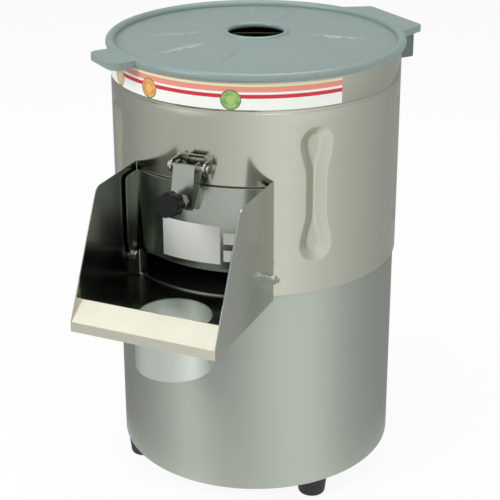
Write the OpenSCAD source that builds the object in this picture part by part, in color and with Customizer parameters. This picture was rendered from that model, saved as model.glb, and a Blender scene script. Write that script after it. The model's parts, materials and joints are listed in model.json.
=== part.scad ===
// Counter-top abrasive vegetable peeler: a steel drum on a round cabinet, with a spinning
// abrasive disc, a front discharge chute, a clamped fold-down door and a lift-off lid.
// Millimetres, +Z up. The origin is on the drum's axis, on the surface the feet stand on.
// The chute points along -Y. Angles are counted from -Y towards +X.

/* [Cabinet] */
// Height of the rubber feet
foot_h = 25; // [20:1:32]
// Radius of a rubber foot at its top
foot_r = 19.5; // [15:0.5:20]
// Distance of the feet's bolts from the outside of the cabinet's wall
foot_inset = 20.2; // [20:0.1:28]
// Angle of the front feet from the chute's direction
foot_angle = 50; // [42:1:58]
// Height of the cabinet, from its bottom edge to the underside of the chamber floor
cabinet_h = 263; // [255:1:290]
// Thickness of the cabinet sheet
cabinet_t = 1.5; // [1:0.1:2]
// Thickness of the base plate
base_t = 2.5; // [2:0.1:4]

/* [Drum] */
// Outside radius of the peeling drum
drum_r = 180; // [176:1:188]
// Height of the drum
drum_h = 262; // [250:1:280]
// Thickness of the drum sheet
drum_t = 2; // [1.5:0.1:2.5]
// Thickness of the chamber floor
pan_t = 3; // [2:0.5:4]
// Height of the drum's lower edge above the underside of the chamber floor
drum_drop = 5; // [4:0.5:8]
// Height over which the drum laps the cabinet
lap_h = 10; // [8:1:14]
// Depth of the bone-shaped dents
dent_d = 9; // [6:0.5:10]
// Height of the bone-shaped dents
dent_h = 168; // [140:1:176]
// Width of a dent at its round ends
dent_end_w = 42; // [36:1:46]
// Width of a dent at its waist
dent_waist_w = 27; // [20:1:32]
// Depth of the groove rolled into the drum
bead_d = 1.5; // [1:0.1:1.8]
// Distance of that groove below the drum's upper edge
bead_drop = 35; // [32:1:42]

/* [Door] */
// Height of the waste slot under the door
slot_h = 37; // [34:1:42]
// Height of the door
door_h = 102; // [96:1:104]
// Half of the door's width
door_half_w = 85; // [82:0.5:85.5]
// Thickness of the door and chute sheet
sheet_t = 1.5; // [1:0.1:2]
// Depth of the door's side flanges in front of the hinge
flange_d = 13; // [10:0.5:16]
// Thickness of the rubber seal
seal_t = 2.2; // [1.5:0.1:3]
// Half of the opening's width
opening_half_w = 74; // [68:0.5:74]
// Radius of the hinge bolts
hinge_bolt_r = 3; // [2.5:0.5:4]

/* [Chute] */
// Half of the chute's outside width
chute_half_w = 89.5; // [89:0.5:95]
// Reach of the chute in front of the drum
chute_reach = 141; // [135:1:150]
// Height of the chute's side walls at the drum
chute_wall_h = 150; // [140:1:155]
// Height of the crest above the chute floor
crest_h = 31.5; // [26:0.5:34]
// Distance of the crest behind the chute's front
crest_back = 19; // [14:1:24]
// Radius of the drop tube
tube_r = 46; // [38:1:50]
// Length of the drop tube below the chute
tube_len = 61; // [40:1:80]
// Distance of the drop tube's axis in front of the drum
tube_out = 61; // [59:1:62]

/* [Clamp] */
// Distance of the clamp's pin in front of the drum
pin_out = 14; // [13:0.5:16]
// Height of the clamp's pin above the door's top edge
pin_rise = 25; // [24:0.5:30]
// Radius of the clamp's pin
pin_r = 3; // [2.5:0.25:3.5]
// Width of the clamp strap
strap_w = 27; // [24:1:32]
// Thickness of the clamp strap
strap_t = 2; // [1.5:0.1:3]
// Length of the clamp strap below its pin
strap_len = 47; // [44:1:52]
// Lean of the clamp strap away from the drum when it is shut
strap_lean = 12.5; // [10:0.5:14]
// Distance of the clamp screw below the pin
screw_drop = 38; // [36:0.5:39]
// Radius of the clamp screw
screw_r = 4; // [3.5:0.5:5]
// Width of the catch on the door
catch_w = 14; // [10:1:18]
// Radius of the clamp knob
knob_r = 15; // [12:0.5:16]
// Thickness of the clamp knob
knob_t = 17; // [14:1:20]
// Number of lobes on the clamp knob
knob_lobes = 7; // [5:1:9]

/* [Lid] */
// Overhang of the lid past the drum
lid_over = 5.5; // [5:0.5:12]
// Thickness of the lid's rim bead
lid_bead_r = 5.5; // [5:0.1:6.5]
// Thickness of the lid's deck
lid_t = 3; // [2.5:0.1:4]
// Rise of the deck from the rim to the hole
lid_rise = 9.5; // [6:0.5:14]
// Radius of the feed hole
feed_r = 34.5; // [30:0.5:45]
// Length of the ribs on the lid
rib_len = 98; // [60:1:110]
// Width of the ribs on the lid
rib_w = 20; // [12:0.5:26]
// Height of the ribs on the lid
rib_h = 3; // [2:0.1:4]
// Angle of the grip tab
grip_angle = -36; // [-45:1:-30]
// Angle of the interlock tab
lock_angle = 142; // [135:1:150]

/* [Disc and drive] */
// Thickness of the disc's metal plate
disc_t = 8; // [6:0.5:10]
// Thickness of the abrasive layer
grit_t = 6; // [4:0.5:8]
// Height of the waves on the abrasive layer
wave_h = 7; // [4:0.5:9]
// Radius of the main shaft
shaft_r = 10; // [8:0.5:11]
// Pitch radius of the driven pulley
driven_r = 70; // [60:1:72]
// Pitch radius of the motor pulley
driver_r = 14; // [13:0.5:16]
// Radius of the motor
motor_r = 56; // [50:1:58]
// Gap between the motor and the cabinet's wall
motor_gap = 10.2; // [8:0.1:12]
// Height of the motor body
motor_h = 112; // [100:1:120]
// Height of the motor plate above the base plate
post_h = 66; // [62:1:72]

/* [Controls] */
// Width of the switch box
box_w = 72; // [64:1:84]
// Height of the switch box
box_h = 100; // [90:1:110]
// Depth of the switch box
box_d = 28; // [26:1:34]
// Radius of the push buttons
button_r = 11; // [8:0.5:13]
// Travel of the push buttons
button_travel = 3; // [2:0.5:4]

/* [Hidden] */
$fn = 96;

// Clearances between pieces
fit = 0.3;          // between sheets that lap or pieces that only sit side by side
run_fit = 0.05;     // radial, between a pin or shaft and its hole
bolt_fit = 0.1;     // radial, between a bolt and a hole that it passes through
seat = 0.02;        // between a piece and the face that carries it

// Heights and radii that follow from the sizes above
cab_r = drum_r - drum_t - fit;
cab_in_r = cab_r - cabinet_t;
pan_z = foot_h + cabinet_h;
pan_top = pan_z + pan_t;
drum_z = pan_z + drum_drop;
drum_top = drum_z + drum_h;
cab_top = drum_z + lap_h;
ring_t = 2;
ring_w = 14;
flange_past_bolt = 11;
foot_reach = cab_r - foot_inset;
bottom_flange_w = foot_inset + flange_past_bolt;
// The rear sheet ends where the rear feet begin, and its edges turn inwards at the seams
seam_turn = foot_angle - asin((foot_r + 4) / foot_reach);
seam_w = 12;
base_z = foot_h + cabinet_t;
base_top = base_z + base_t;

door_z = pan_top + slot_h;
door_top = door_z + door_h;
door_in_r = drum_r + fit + seal_t;
door_out_r = door_in_r + sheet_t;
opening_top = door_top - 9;

chute_z = pan_z;
chute_floor = chute_z + sheet_t;
chute_front = drum_r + chute_reach;
chute_in_w = chute_half_w - sheet_t;
chute_rear = sqrt(drum_r * drum_r - chute_in_w * chute_in_w) + fit;
crest_reach = chute_front - crest_back;
tube_reach = drum_r + tube_out;
wall_top = chute_z + chute_wall_h;
nose_h = 12;
// The wall's front edge leans back; its upper corner is an arc
corner_r = 14;
front_lean = atan(0.5);
corner_reach = chute_front - (chute_wall_h - nose_h) * tan(front_lean);
corner_tangent = corner_r * tan((90 - front_lean) / 2);

hinge_reach = chute_rear + 21;
hinge_z = door_z - 3;
ear_r = 8;
hinge_head_r = 5.8;
hinge_washer_r = 6.2;
hinge_washer_t = 1.6;
hinge_collar_r = 5;
hinge_collar_t = 4.5;
hinge_end = 4;
hinge_nut_x = chute_half_w + 3 * seat + hinge_washer_t + hinge_collar_t;
hinge_head_t = 4;

dent_mid_z = door_z + 4 + dent_h / 2;
// Arcs that give a dent its depth over its width
waist_arc = (dent_waist_w * dent_waist_w / 4 + dent_d * dent_d) / (2 * dent_d);
end_arc = (dent_end_w * dent_end_w / 4 + dent_d * dent_d) / (2 * dent_d);
dent_first = 46;
dent_count = 6;
dent_step = (360 - 2 * dent_first) / (dent_count - 1);

bead_z = drum_top - bead_drop;
bead_h = 5;

// Bolt sizes shared by several groups
m6_r = 3;
m6_head_r = 5;
m6_head_t = 4;
m6_nut_r = 5.8;
m6_nut_t = 5;

// Clamp: the strap hangs from its pin and leans outwards, in a frame whose own
// -Y points out of the strap's face and whose -Z runs down the strap
pin_reach = drum_r + pin_out;
pin_z = door_top + pin_rise;
strap_face = 14.5;
lug_t = 2.5;
lug_x = strap_w / 2 + 6;
foot_n = 6;
foot_tip_r = screw_r - 0.2;
foot_len = screw_r + 0.5;
tip_pin_r = screw_r / 2;
screw_end = 50;
nut_t = 6;
knob_back = screw_end - knob_t;
neck_len = 8;

// The catch's ramp faces the foot; its slope lets the foot climb over the door's edge
foot_reach_out = pin_reach + foot_n * cos(strap_lean) + screw_drop * sin(strap_lean);
foot_height = pin_z + foot_n * sin(strap_lean) - screw_drop * cos(strap_lean);
ramp_angle = 32;
ramp_reach = foot_reach_out - (foot_tip_r + fit) * sin(ramp_angle);
ramp_z = foot_height - (foot_tip_r + fit) * cos(ramp_angle);

// Lid
lid_seat = drum_top + fit;
lid_r = drum_r + lid_over;
bead_c_r = lid_r - lid_bead_r;
bead_c_z = lid_seat + lid_bead_r;
deck_out_r = drum_r - drum_t - 1;
deck_out_z = lid_seat + 3.7;
deck_in_r = feed_r + 9;
deck_in_z = deck_out_z + lid_rise;
skirt_r = drum_r - drum_t - 1.5;
skirt_h = 9;
deck_slope = atan(lid_rise / (deck_out_r - deck_in_r));
tab_t = 8.5;
grip_out = 2;
lock_half_w = 61;
lock_out = 29;
housing_half_w = 47;
housing_out = 27;
rib_root = 1.2;
housing_h = 34;
housing_top = drum_top - 0.5;
magnet_r = 6;
magnet_t = 3;
sensor_reach = drum_r + 11;

// Disc and drive
disc_top = door_z + 2;
disc_z = disc_top - grit_t - disc_t;
disc_r = drum_r - dent_d - drum_t - 3;
collar_r = 26;
collar_h = 12;
hub_r = 20;
race_r = 23.5;
race_t = 14;
housing_r = 31;
housing_z = pan_z - 118;
housing_flange_r = 56;
housing_flange_t = 8;
housing_rib_h = 50;
housing_rib_t = 6;
housing_bolt_reach = 46;
shaft_low_z = foot_h + 28;
shaft_shoulder_z = disc_z + 2;
ball_gap = 5.4;
ball_r = ball_gap / 2 - run_fit;
inner_race_r = 14;
outer_race_r = inner_race_r + ball_gap;
race_low_z = housing_z + 4;
race_high_z = pan_z - 26;

belt_w = 8;
belt_d = 7;
belt_z = base_top + 38;
pulley_t = 16;
pulley_z = belt_z - pulley_t / 2;
groove_gap = 0.6;

// The motor stands at the back of the cabinet, motor_gap from its wall
motor_out = cab_in_r - motor_r - motor_gap;
plate_z = base_top + post_h;
plate_t = 4;
plate_half_w = 86;
plate_front = 44;
motor_z = plate_z + plate_t;
bell_t = 12;
rotor_r = 32;
stator_in_r = rotor_r + 0.8;
core_h = 66;
core_z = motor_z + (motor_h - core_h) / 2;
motor_shaft_r = 7;
motor_bearing_r = 17;
fan_z = motor_z + motor_h + 4;
fan_h = 10;
cover_h = 20;
post_r = 7;
post_half_w = 74;
post_front = 72;
post_turn = 23;
post_back = cab_in_r - 17.6;
post_spots = [[-post_half_w, post_front], [post_half_w, post_front],
    [-post_back * sin(post_turn), post_back * cos(post_turn)],
    [post_back * sin(post_turn), post_back * cos(post_turn)]];

cap_r = 20;
cap_h = 72;
cap_gap = 26.6;
cap_turn = 171;
cap_out = cab_in_r - cap_r - cap_gap;
cap_spot = [cap_out * cos(cap_turn), cap_out * sin(cap_turn)];
cap_z = base_top + 60;
clip_lift = 20;
clip_h = 24;
clip_w = 18;
clip_t = 2;

// Controls at the back
box_drop = 13;
box_z = pan_z - box_drop - box_h;
box_wall = 2.5;
box_out = cab_r + box_d;
start_z = box_z + box_h * 0.7;
stop_z = box_z + box_h * 0.3;
button_out = 6;
block_d = 9;
stem_r = 4;
gland_z = foot_h + 45;
gland_r = 9;
cord_r = 4;

// Turns its children so that their own -Y points outwards at the angle a
module at_angle(a) {
    rotate([0, 0, a]) children();
}

// Lays a flat outline, drawn as (reach in front of the axis, height), into the plane
// x = x0 and thickens it to x = x0 + t
module side_plate(x0, t) {
    translate([x0 + t, 0, 0]) rotate([90, 0, -90]) linear_extrude(height = t) children();
}

// A cylinder along +X from x0, of length len, at the given reach and height
module cross_pin(x0, len, reach, z, r) {
    translate([x0, -reach, z]) rotate([0, 90, 0]) cylinder(r = r, h = len);
}

// A ring about the drum's axis
module ring(r_in, r_out, z, h) {
    translate([0, 0, z]) difference() {
        cylinder(r = r_out, h = h);
        translate([0, 0, -1]) cylinder(r = r_in, h = h + 2);
    }
}

module hex(r, h) {
    cylinder(r = r, h = h, $fn = 6);
}

module rounded_rect(w, h, r) {
    square([w - 2 * r, h], center = true);
    square([w, h - 2 * r], center = true);
    for (sx = [-1, 1], sy = [-1, 1])
        translate([sx * (w / 2 - r), sy * (h / 2 - r)]) circle(r = r);
}

// The front opening, from the chamber floor up
module opening_cut(top_z) {
    translate([-opening_half_w, -drum_r - 10, pan_top])
        cube([2 * opening_half_w, 60, top_z - pan_top]);
}

module foot_places() {
    for (a = [foot_angle, 180 - foot_angle, 180 + foot_angle, -foot_angle])
        at_angle(a) translate([0, -foot_reach, 0]) children();
}

module lap_screw_places() {
    for (a = [175 - seam_turn, 180, 185 + seam_turn])
        at_angle(a) translate([0, -cab_in_r, drum_z + lap_h / 2]) rotate([90, 0, 0]) children();
}

module housing_bolt_places() {
    for (a = [45, 135, 225, 315])
        at_angle(a) translate([0, -housing_bolt_reach, 0]) children();
}

module post_places() {
    for (p = post_spots)
        translate([p[0], p[1], 0]) children();
}

module motor_frame() {
    translate([0, motor_out, 0]) children();
}

// Air slots in the rear sheet, between the switch box and the seams
module vent_cuts() {
    box_turn = asin(box_w / 2 / cab_r);
    vent_w = 2 * cab_r * sin((seam_turn - box_turn) / 2 - 4);
    for (side = [-1, 1], i = [0:4])
        at_angle(180 + side * (seam_turn + box_turn) / 2)
            translate([0, -cab_r, foot_h + 60 + i * 14]) cube([vent_w, 20, 5], center = true);
}

// The wall of the cabinet with its bottom flange and the ring that carries the chamber floor
module cabinet_wall() {
    difference() {
        rotate_extrude() polygon([
            [cab_r - bottom_flange_w, foot_h], [cab_r, foot_h], [cab_r, cab_top],
            [cab_in_r, cab_top], [cab_in_r, pan_z], [cab_in_r - ring_w, pan_z],
            [cab_in_r - ring_w, pan_z - ring_t], [cab_in_r, pan_z - ring_t],
            [cab_in_r, base_z], [cab_r - bottom_flange_w, base_z]]);
        foot_places() translate([0, 0, foot_h - 1]) cylinder(r = m6_r + bolt_fit, h = cabinet_t + 2);
        lap_screw_places() translate([0, 0, -2]) cylinder(r = 2 + bolt_fit, h = 10);
    }
}

// The rear sector between the seams, grown by g past the seam's plane on each side
module rear_sector(g) {
    reach = 2 * cab_r;
    edge_x = reach * sin(seam_turn);
    edge_y = reach * cos(seam_turn);
    apex = g / sin(seam_turn);
    translate([0, 0, foot_h - 1]) linear_extrude(height = cab_top - foot_h + 2)
        polygon([[0, -apex], [edge_x, edge_y - apex], [-edge_x, edge_y - apex]]);
}

// The inward edge of a sheet at a seam, from n0 to n1 past the seam's plane
module seam_edges(n0, n1) {
    low_z = base_top + 1;
    for (side = [-1, 1])
        at_angle(180 + side * seam_turn) translate([side > 0 ? n0 : -n1, -cab_in_r - 0.5, low_z])
            cube([n1 - n0, seam_w + 0.5, pan_z - ring_t - 1 - low_z]);
}

module cabinet_shell() {
    color("lightgray") difference() {
        union() {
            cabinet_wall();
            seam_edges(-1, seat + cabinet_t);
        }
        rear_sector(seat);
        opening_cut(cab_top + 1);
    }
}

module cabinet_back() {
    color("lightgray") difference() {
        intersection() {
            union() {
                cabinet_wall();
                seam_edges(-seat - cabinet_t, 1);
            }
            rear_sector(-seat);
        }
        vent_cuts();
        at_angle(180) translate([0, -cab_r + 5, gland_z]) rotate([90, 0, 0])
            cylinder(r = gland_r + bolt_fit, h = 12);
        at_angle(180) translate([0, -cab_r, box_z + box_h / 2])
            cube([box_w - 24, 24, box_h - 24], center = true);
    }
}

module base_plate() {
    color("silver") translate([0, 0, base_z]) difference() {
        cylinder(r = cab_in_r - fit, h = base_t);
        foot_places() translate([0, 0, -1]) cylinder(r = m6_r + bolt_fit, h = base_t + 2);
        post_places() translate([0, 0, -1]) cylinder(r = m6_r + bolt_fit, h = base_t + 2);
        for (a = [0:30:330])
            rotate([0, 0, a]) translate([40, 0, -1]) cylinder(r = 5, h = base_t + 2);
    }
}

module rubber_feet() {
    color("black") foot_places() rotate_extrude() polygon([
        [7, 0], [foot_r - 4, 0], [foot_r - 2.5, 1.5], [foot_r, foot_h - 2], [foot_r - 1, foot_h],
        [m6_r + bolt_fit, foot_h], [m6_r + bolt_fit, 9], [7, 9]]);
}

module foot_bolts() {
    color("silver") foot_places() {
        translate([0, 0, 9 - m6_head_t]) hex(m6_head_r, m6_head_t);
        translate([0, 0, 8]) cylinder(r = m6_r, h = base_top + m6_nut_t + 2 - 8);
    }
}

module foot_nuts() {
    color("silver") foot_places() translate([0, 0, base_top]) difference() {
        hex(m6_nut_r, m6_nut_t);
        translate([0, 0, -1]) cylinder(r = m6_r + run_fit, h = m6_nut_t + 2);
    }
}

// The chamber floor, with a collar that keeps water off the shaft
module floor_pan() {
    color("silver") difference() {
        union() {
            translate([0, 0, pan_z]) cylinder(r = cab_in_r - 0.2, h = pan_t);
            translate([0, 0, pan_z]) cylinder(r = collar_r, h = pan_t + collar_h);
        }
        translate([0, 0, pan_z - 1]) cylinder(r = race_r, h = pan_t + collar_h - 2);
        translate([0, 0, pan_z]) cylinder(r = shaft_r + 1.5, h = pan_t + collar_h + 1);
        housing_bolt_places() translate([0, 0, pan_z - 1])
            cylinder(r = m6_r + bolt_fit, h = pan_t + 2);
    }
}

// A dent pressed into the drum: a round channel with a round bowl at each end. It is drawn
// as the tool that presses it, grown by g on every side.
module dent(g) {
    end_z = (dent_h - dent_end_w) / 2;
    translate([0, -drum_r + dent_d - waist_arc, dent_mid_z - end_z])
        cylinder(r = waist_arc + g, h = 2 * end_z);
    for (s = [-1, 1])
        translate([0, -drum_r + dent_d - end_arc, dent_mid_z + s * end_z]) sphere(r = end_arc + g);
}

module drum_shell() {
    in_r = drum_r - drum_t;
    color("gainsboro") difference() {
        union() {
            rotate_extrude() polygon([
                [in_r, drum_z], [drum_r, drum_z], [drum_r, bead_z - bead_h / 2],
                [drum_r - bead_d, bead_z - bead_h / 4], [drum_r - bead_d, bead_z + bead_h / 4],
                [drum_r, bead_z + bead_h / 2], [drum_r, drum_top], [in_r, drum_top],
                [in_r, bead_z + bead_h / 2], [in_r - bead_d, bead_z + bead_h / 4],
                [in_r - bead_d, bead_z - bead_h / 4], [in_r, bead_z - bead_h / 2]]);
            intersection() {
                for (i = [0:dent_count - 1])
                    at_angle(dent_first + i * dent_step) dent(drum_t);
                translate([0, 0, drum_z]) cylinder(r = drum_r - 0.5, h = drum_h);
            }
        }
        for (i = [0:dent_count - 1])
            at_angle(dent_first + i * dent_step) dent(0);
        opening_cut(opening_top);
        lap_screw_places() translate([0, 0, -2]) cylinder(r = 2 + bolt_fit, h = 10);
    }
}

module lap_screws() {
    color("silver") lap_screw_places() {
        translate([0, 0, -2.5]) cylinder(r = 2, h = cabinet_t + fit + drum_t + 3);
        translate([0, 0, cabinet_t + fit + drum_t + 0.1]) cylinder(r = 3.8, h = 2);
    }
}

module label_band() {
    band_z = bead_z + bead_h / 2 + 0.8;
    color("white") rotate([0, 0, -90 - 78]) rotate_extrude(angle = 78 + 56)
        translate([drum_r + seat, band_z]) square([0.4, drum_top - 1.5 - band_z]);
}

// The chute's side wall as (reach, height)
module chute_wall_outline() {
    flat_end = corner_reach - corner_tangent;
    polygon([[chute_rear, chute_z], [chute_front, chute_z], [chute_front, chute_z + nose_h],
        [corner_reach + corner_tangent * sin(front_lean), wall_top - corner_tangent * cos(front_lean)],
        [flat_end, wall_top - corner_r], [flat_end, wall_top], [chute_rear, wall_top]]);
    translate([flat_end, wall_top - corner_r]) circle(r = corner_r);
}

// The lip at the chute's front: up to the crest, forward and down to the crease, then a skirt
module chute_lip_outline() {
    polygon([[crest_reach - sheet_t, chute_z], [crest_reach - sheet_t, chute_floor + crest_h],
        [crest_reach, chute_floor + crest_h], [chute_front, chute_z + nose_h],
        [chute_front, chute_z], [chute_front - sheet_t, chute_z],
        [chute_front - sheet_t, chute_z + nose_h - 0.6],
        [crest_reach, chute_floor + crest_h - 2.6], [crest_reach, chute_z]]);
}

module chute_tray() {
    color("silver") difference() {
        union() {
            translate([0, 0, chute_z]) linear_extrude(height = sheet_t) difference() {
                translate([-chute_in_w - 0.5, -crest_reach]) square([2 * chute_in_w + 1, crest_reach]);
                circle(r = cab_r + fit);
                translate([0, -tube_reach]) circle(r = tube_r - sheet_t);
            }
            for (x0 = [-chute_half_w, chute_in_w])
                side_plate(x0, sheet_t) chute_wall_outline();
            side_plate(-chute_in_w - 0.5, 2 * chute_in_w + 1) chute_lip_outline();
        }
        cross_pin(-100, 200, hinge_reach, hinge_z, hinge_bolt_r + bolt_fit);
    }
}

module drop_tube() {
    color("gainsboro") translate([0, -tube_reach, 0]) {
        ring(tube_r - sheet_t, tube_r, chute_z - tube_len, tube_len - seat);
        ring(tube_r - sheet_t, tube_r + 5, chute_z - sheet_t - seat, sheet_t);
    }
}

// One hinge bolt on each side, with its head inside the door's flange
module hinge_bolts() {
    head_x = door_half_w - sheet_t - 0.2 - hinge_head_t;
    color("silver") for (s = [0, 1]) mirror([s, 0, 0]) {
        cross_pin(head_x + 1, hinge_nut_x + m6_nut_t + hinge_end - head_x - 1, hinge_reach, hinge_z,
            hinge_bolt_r);
        translate([head_x, -hinge_reach, hinge_z]) rotate([0, 90, 0]) hex(hinge_head_r, hinge_head_t);
    }
}

// The spacer inside the chute's wall, and the washer and collar outside it
module hinge_spacers() {
    out_x = chute_half_w + seat;
    color("silver") for (s = [0, 1]) mirror([s, 0, 0]) difference() {
        union() {
            cross_pin(door_half_w + 0.1, chute_in_w - door_half_w - 0.2, hinge_reach, hinge_z,
                hinge_bolt_r + 3);
            cross_pin(out_x, hinge_washer_t, hinge_reach, hinge_z, hinge_washer_r);
            cross_pin(out_x + seat + hinge_washer_t, hinge_collar_t, hinge_reach, hinge_z, hinge_collar_r);
        }
        cross_pin(door_half_w - 1, hinge_nut_x - door_half_w + 2, hinge_reach, hinge_z,
            hinge_bolt_r + run_fit);
    }
}

module hinge_nuts() {
    color("silver") for (s = [0, 1]) mirror([s, 0, 0]) difference() {
        translate([hinge_nut_x, -hinge_reach, hinge_z]) rotate([0, 90, 0]) hex(hinge_head_r, m6_nut_t);
        cross_pin(hinge_nut_x - 1, m6_nut_t + 2, hinge_reach, hinge_z, hinge_bolt_r + run_fit);
    }
}

// A bent sheet about the drum's axis, between two radii, as wide as the door
module door_arc(r_in, r_out, half_w) {
    intersection() {
        difference() {
            circle(r = r_out);
            circle(r = r_in);
        }
        translate([-half_w, -r_out - 1]) square([2 * half_w, r_out + 1]);
    }
}

module door_flange_outline() {
    back = sqrt(door_in_r * door_in_r - door_half_w * door_half_w) + 0.4;
    front = hinge_reach + flange_d;
    polygon([[back, door_z], [back, door_top], [front - 6, door_top], [front - 2, door_top - 1.5],
        [front, door_top - 5], [front, door_z + 20], [hinge_reach + ear_r - 0.5, hinge_z + 2],
        [hinge_reach - ear_r + 0.5, hinge_z + 2]]);
    translate([hinge_reach, hinge_z]) circle(r = ear_r);
}

module door_plate() {
    color("silver") difference() {
        union() {
            translate([0, 0, door_z]) linear_extrude(height = door_h)
                door_arc(door_in_r, door_out_r, door_half_w);
            for (x0 = [-door_half_w, door_half_w - sheet_t])
                side_plate(x0, sheet_t) door_flange_outline();
        }
        cross_pin(-100, 200, hinge_reach, hinge_z, hinge_bolt_r + run_fit);
    }
}

// Catch on the door's face, with a ramp that the clamp's foot bears on
module door_catch() {
    back = door_out_r - 1;
    color("silver") difference() {
        side_plate(-catch_w / 2, catch_w) polygon([
            [back, ramp_z + (ramp_reach - back) * tan(ramp_angle)],
            [ramp_reach + 2, ramp_z - 2 * tan(ramp_angle)], [ramp_reach + 2, ramp_z - 4],
            [back, ramp_z - 16]]);
        cylinder(r = door_out_r + seat, h = door_top + 10);
    }
}

// Rubber seal behind the door: a strip above the opening and one on each side
module door_seal() {
    seal_in_w = opening_half_w + 1.5;
    color("dimgray") translate([0, 0, door_z + 4]) linear_extrude(height = door_top - door_z - 5)
        difference() {
            door_arc(drum_r + fit, door_in_r - seat, seal_in_w + 5);
            translate([-seal_in_w, -drum_r - 10]) square([2 * seal_in_w, 60]);
        }
    color("dimgray") translate([0, 0, opening_top + 2])
        linear_extrude(height = door_top - opening_top - 3)
            door_arc(drum_r + fit, door_in_r - seat, seal_in_w + 5);
}

// Three bare plates where labels are stuck on
module door_labels() {
    spots = [[-13.5, 23.5, 6, 48], [11.2, 5, 32, 14], [11.2, 4, 10, 14]];
    color("white") for (p = spots)
        translate([0, 0, door_z + p[2]]) rotate([0, 0, -90 + p[0]]) rotate_extrude(angle = p[1])
            translate([door_out_r + seat, 0]) square([0.4, p[3]]);
}

// Welded bracket with two ears that carry the clamp's pin
module strap_lugs() {
    color("silver") difference() {
        union() {
            translate([0, 0, pin_z - 11]) linear_extrude(height = 22)
                door_arc(drum_r + seat, drum_r + 1.8, lug_x + lug_t);
            for (x0 = [-lug_x - lug_t, lug_x])
                side_plate(x0, lug_t) {
                    translate([drum_r - 1, pin_z - 8]) square([pin_out + 1, 16]);
                    translate([pin_reach, pin_z]) circle(r = 8);
                }
        }
        cross_pin(-50, 100, pin_reach, pin_z, pin_r + run_fit);
        translate([0, 0, pin_z - 30]) cylinder(r = drum_r + seat, h = 60);
    }
}

module strap_pin() {
    color("silver") {
        cross_pin(-lug_x - lug_t - 2, 2 * (lug_x + lug_t + 2), pin_reach, pin_z, pin_r);
        for (x0 = [-lug_x - lug_t - 3.5, lug_x + lug_t + 0.5])
            cross_pin(x0, 3, pin_reach, pin_z, pin_r + 2);
    }
}

// The strap's own frame: origin on the pin, leaning with the strap
module strap_frame() {
    translate([0, -pin_reach, pin_z]) rotate([-strap_lean, 0, 0]) children();
}

// A piece turned about the screw's axis, drawn upwards from the strap's frame outwards
module screw_axis() {
    strap_frame() translate([0, 0, -screw_drop]) rotate([90, 0, 0]) children();
}

module clamp_strap() {
    color("silver") difference() {
        strap_frame() {
            translate([-strap_w / 2, -strap_face, -strap_len])
                cube([strap_w, strap_t, strap_len + 4]);
            for (x0 = [-strap_w / 2, strap_w / 2 - strap_t])
                side_plate(x0, strap_t) {
                    circle(r = 7.5);
                    polygon([[-5, 5.6], [0, 7.5], [strap_face - 0.5, 4], [strap_face - 0.5, -strap_len],
                        [strap_face - 4, -strap_len], [-4, -22], [-7.3, -1.5]]);
                }
        }
        cross_pin(-50, 100, pin_reach, pin_z, pin_r + run_fit);
        screw_axis() cylinder(r = screw_r + bolt_fit, h = 30);
    }
}

module clamp_nut() {
    color("silver") screw_axis() translate([0, 0, strap_face]) difference() {
        hex(screw_r * 1.9, nut_t);
        translate([0, 0, -1]) cylinder(r = screw_r + run_fit, h = nut_t + 2);
    }
}

module clamp_screw() {
    step_n = foot_n + foot_len + fit;
    color("silver") screw_axis() {
        translate([0, 0, step_n]) cylinder(r = screw_r, h = screw_end - step_n - 4);
        translate([0, 0, foot_n]) cylinder(r = tip_pin_r, h = step_n - foot_n + 1);
    }
}

module clamp_knob() {
    lobe_r = knob_r * 0.32;
    color("black") screw_axis() difference() {
        union() {
            translate([0, 0, knob_back]) {
                cylinder(r = knob_r * 0.86, h = knob_t);
                for (i = [0:knob_lobes - 1])
                    rotate([0, 0, i * 360 / knob_lobes])
                        translate([knob_r - lobe_r, 0, 1]) cylinder(r = lobe_r, h = knob_t - 2);
            }
            translate([0, 0, knob_back - neck_len]) cylinder(r = knob_r * 0.5, h = neck_len + 1);
        }
        translate([0, 0, knob_back - neck_len - 1])
            cylinder(r = screw_r + seat, h = knob_t + neck_len - 3 + seat);
    }
}

// Foot with a round tip, turning freely on the pin at the end of the screw
module clamp_foot() {
    color("dimgray") screw_axis() difference() {
        union() {
            translate([0, 0, foot_n]) sphere(r = foot_tip_r);
            translate([0, 0, foot_n]) cylinder(r = foot_tip_r, h = foot_len);
        }
        translate([0, 0, foot_n - fit]) cylinder(r = tip_pin_r + run_fit, h = foot_len + 1);
    }
}

// A pointed rib that swells out of the deck: the cap of a long barrel lying in it
module rib(len, w, h) {
    barrel_r = (w * w / 4 + h * h) / (2 * h);
    curve_r = (len * len / 4 + h * h) / (2 * h);
    intersection() {
        translate([0, 0, h - barrel_r]) rotate([90, 0, 0]) rotate_extrude() intersection() {
            translate([barrel_r - curve_r, 0]) circle(r = curve_r);
            translate([0, -len / 2]) square([barrel_r + 1, len]);
        }
        translate([-w, -len, -rib_root]) cube([2 * w, 2 * len, h + 2 * rib_root]);
    }
}

// The wide tab over the interlock, tapering outwards to rounded corners
module lock_tab_outline() {
    corner = 8;
    inner_x = lock_half_w - corner;
    outer = drum_r + lock_out;
    polygon([[-lock_half_w - 13, -drum_r + 10], [lock_half_w + 13, -drum_r + 10],
        [lock_half_w, -outer + corner], [inner_x, -outer], [-inner_x, -outer],
        [-lock_half_w, -outer + corner]]);
    for (x = [-inner_x, inner_x])
        translate([x, -outer + corner]) circle(r = corner);
}

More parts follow.
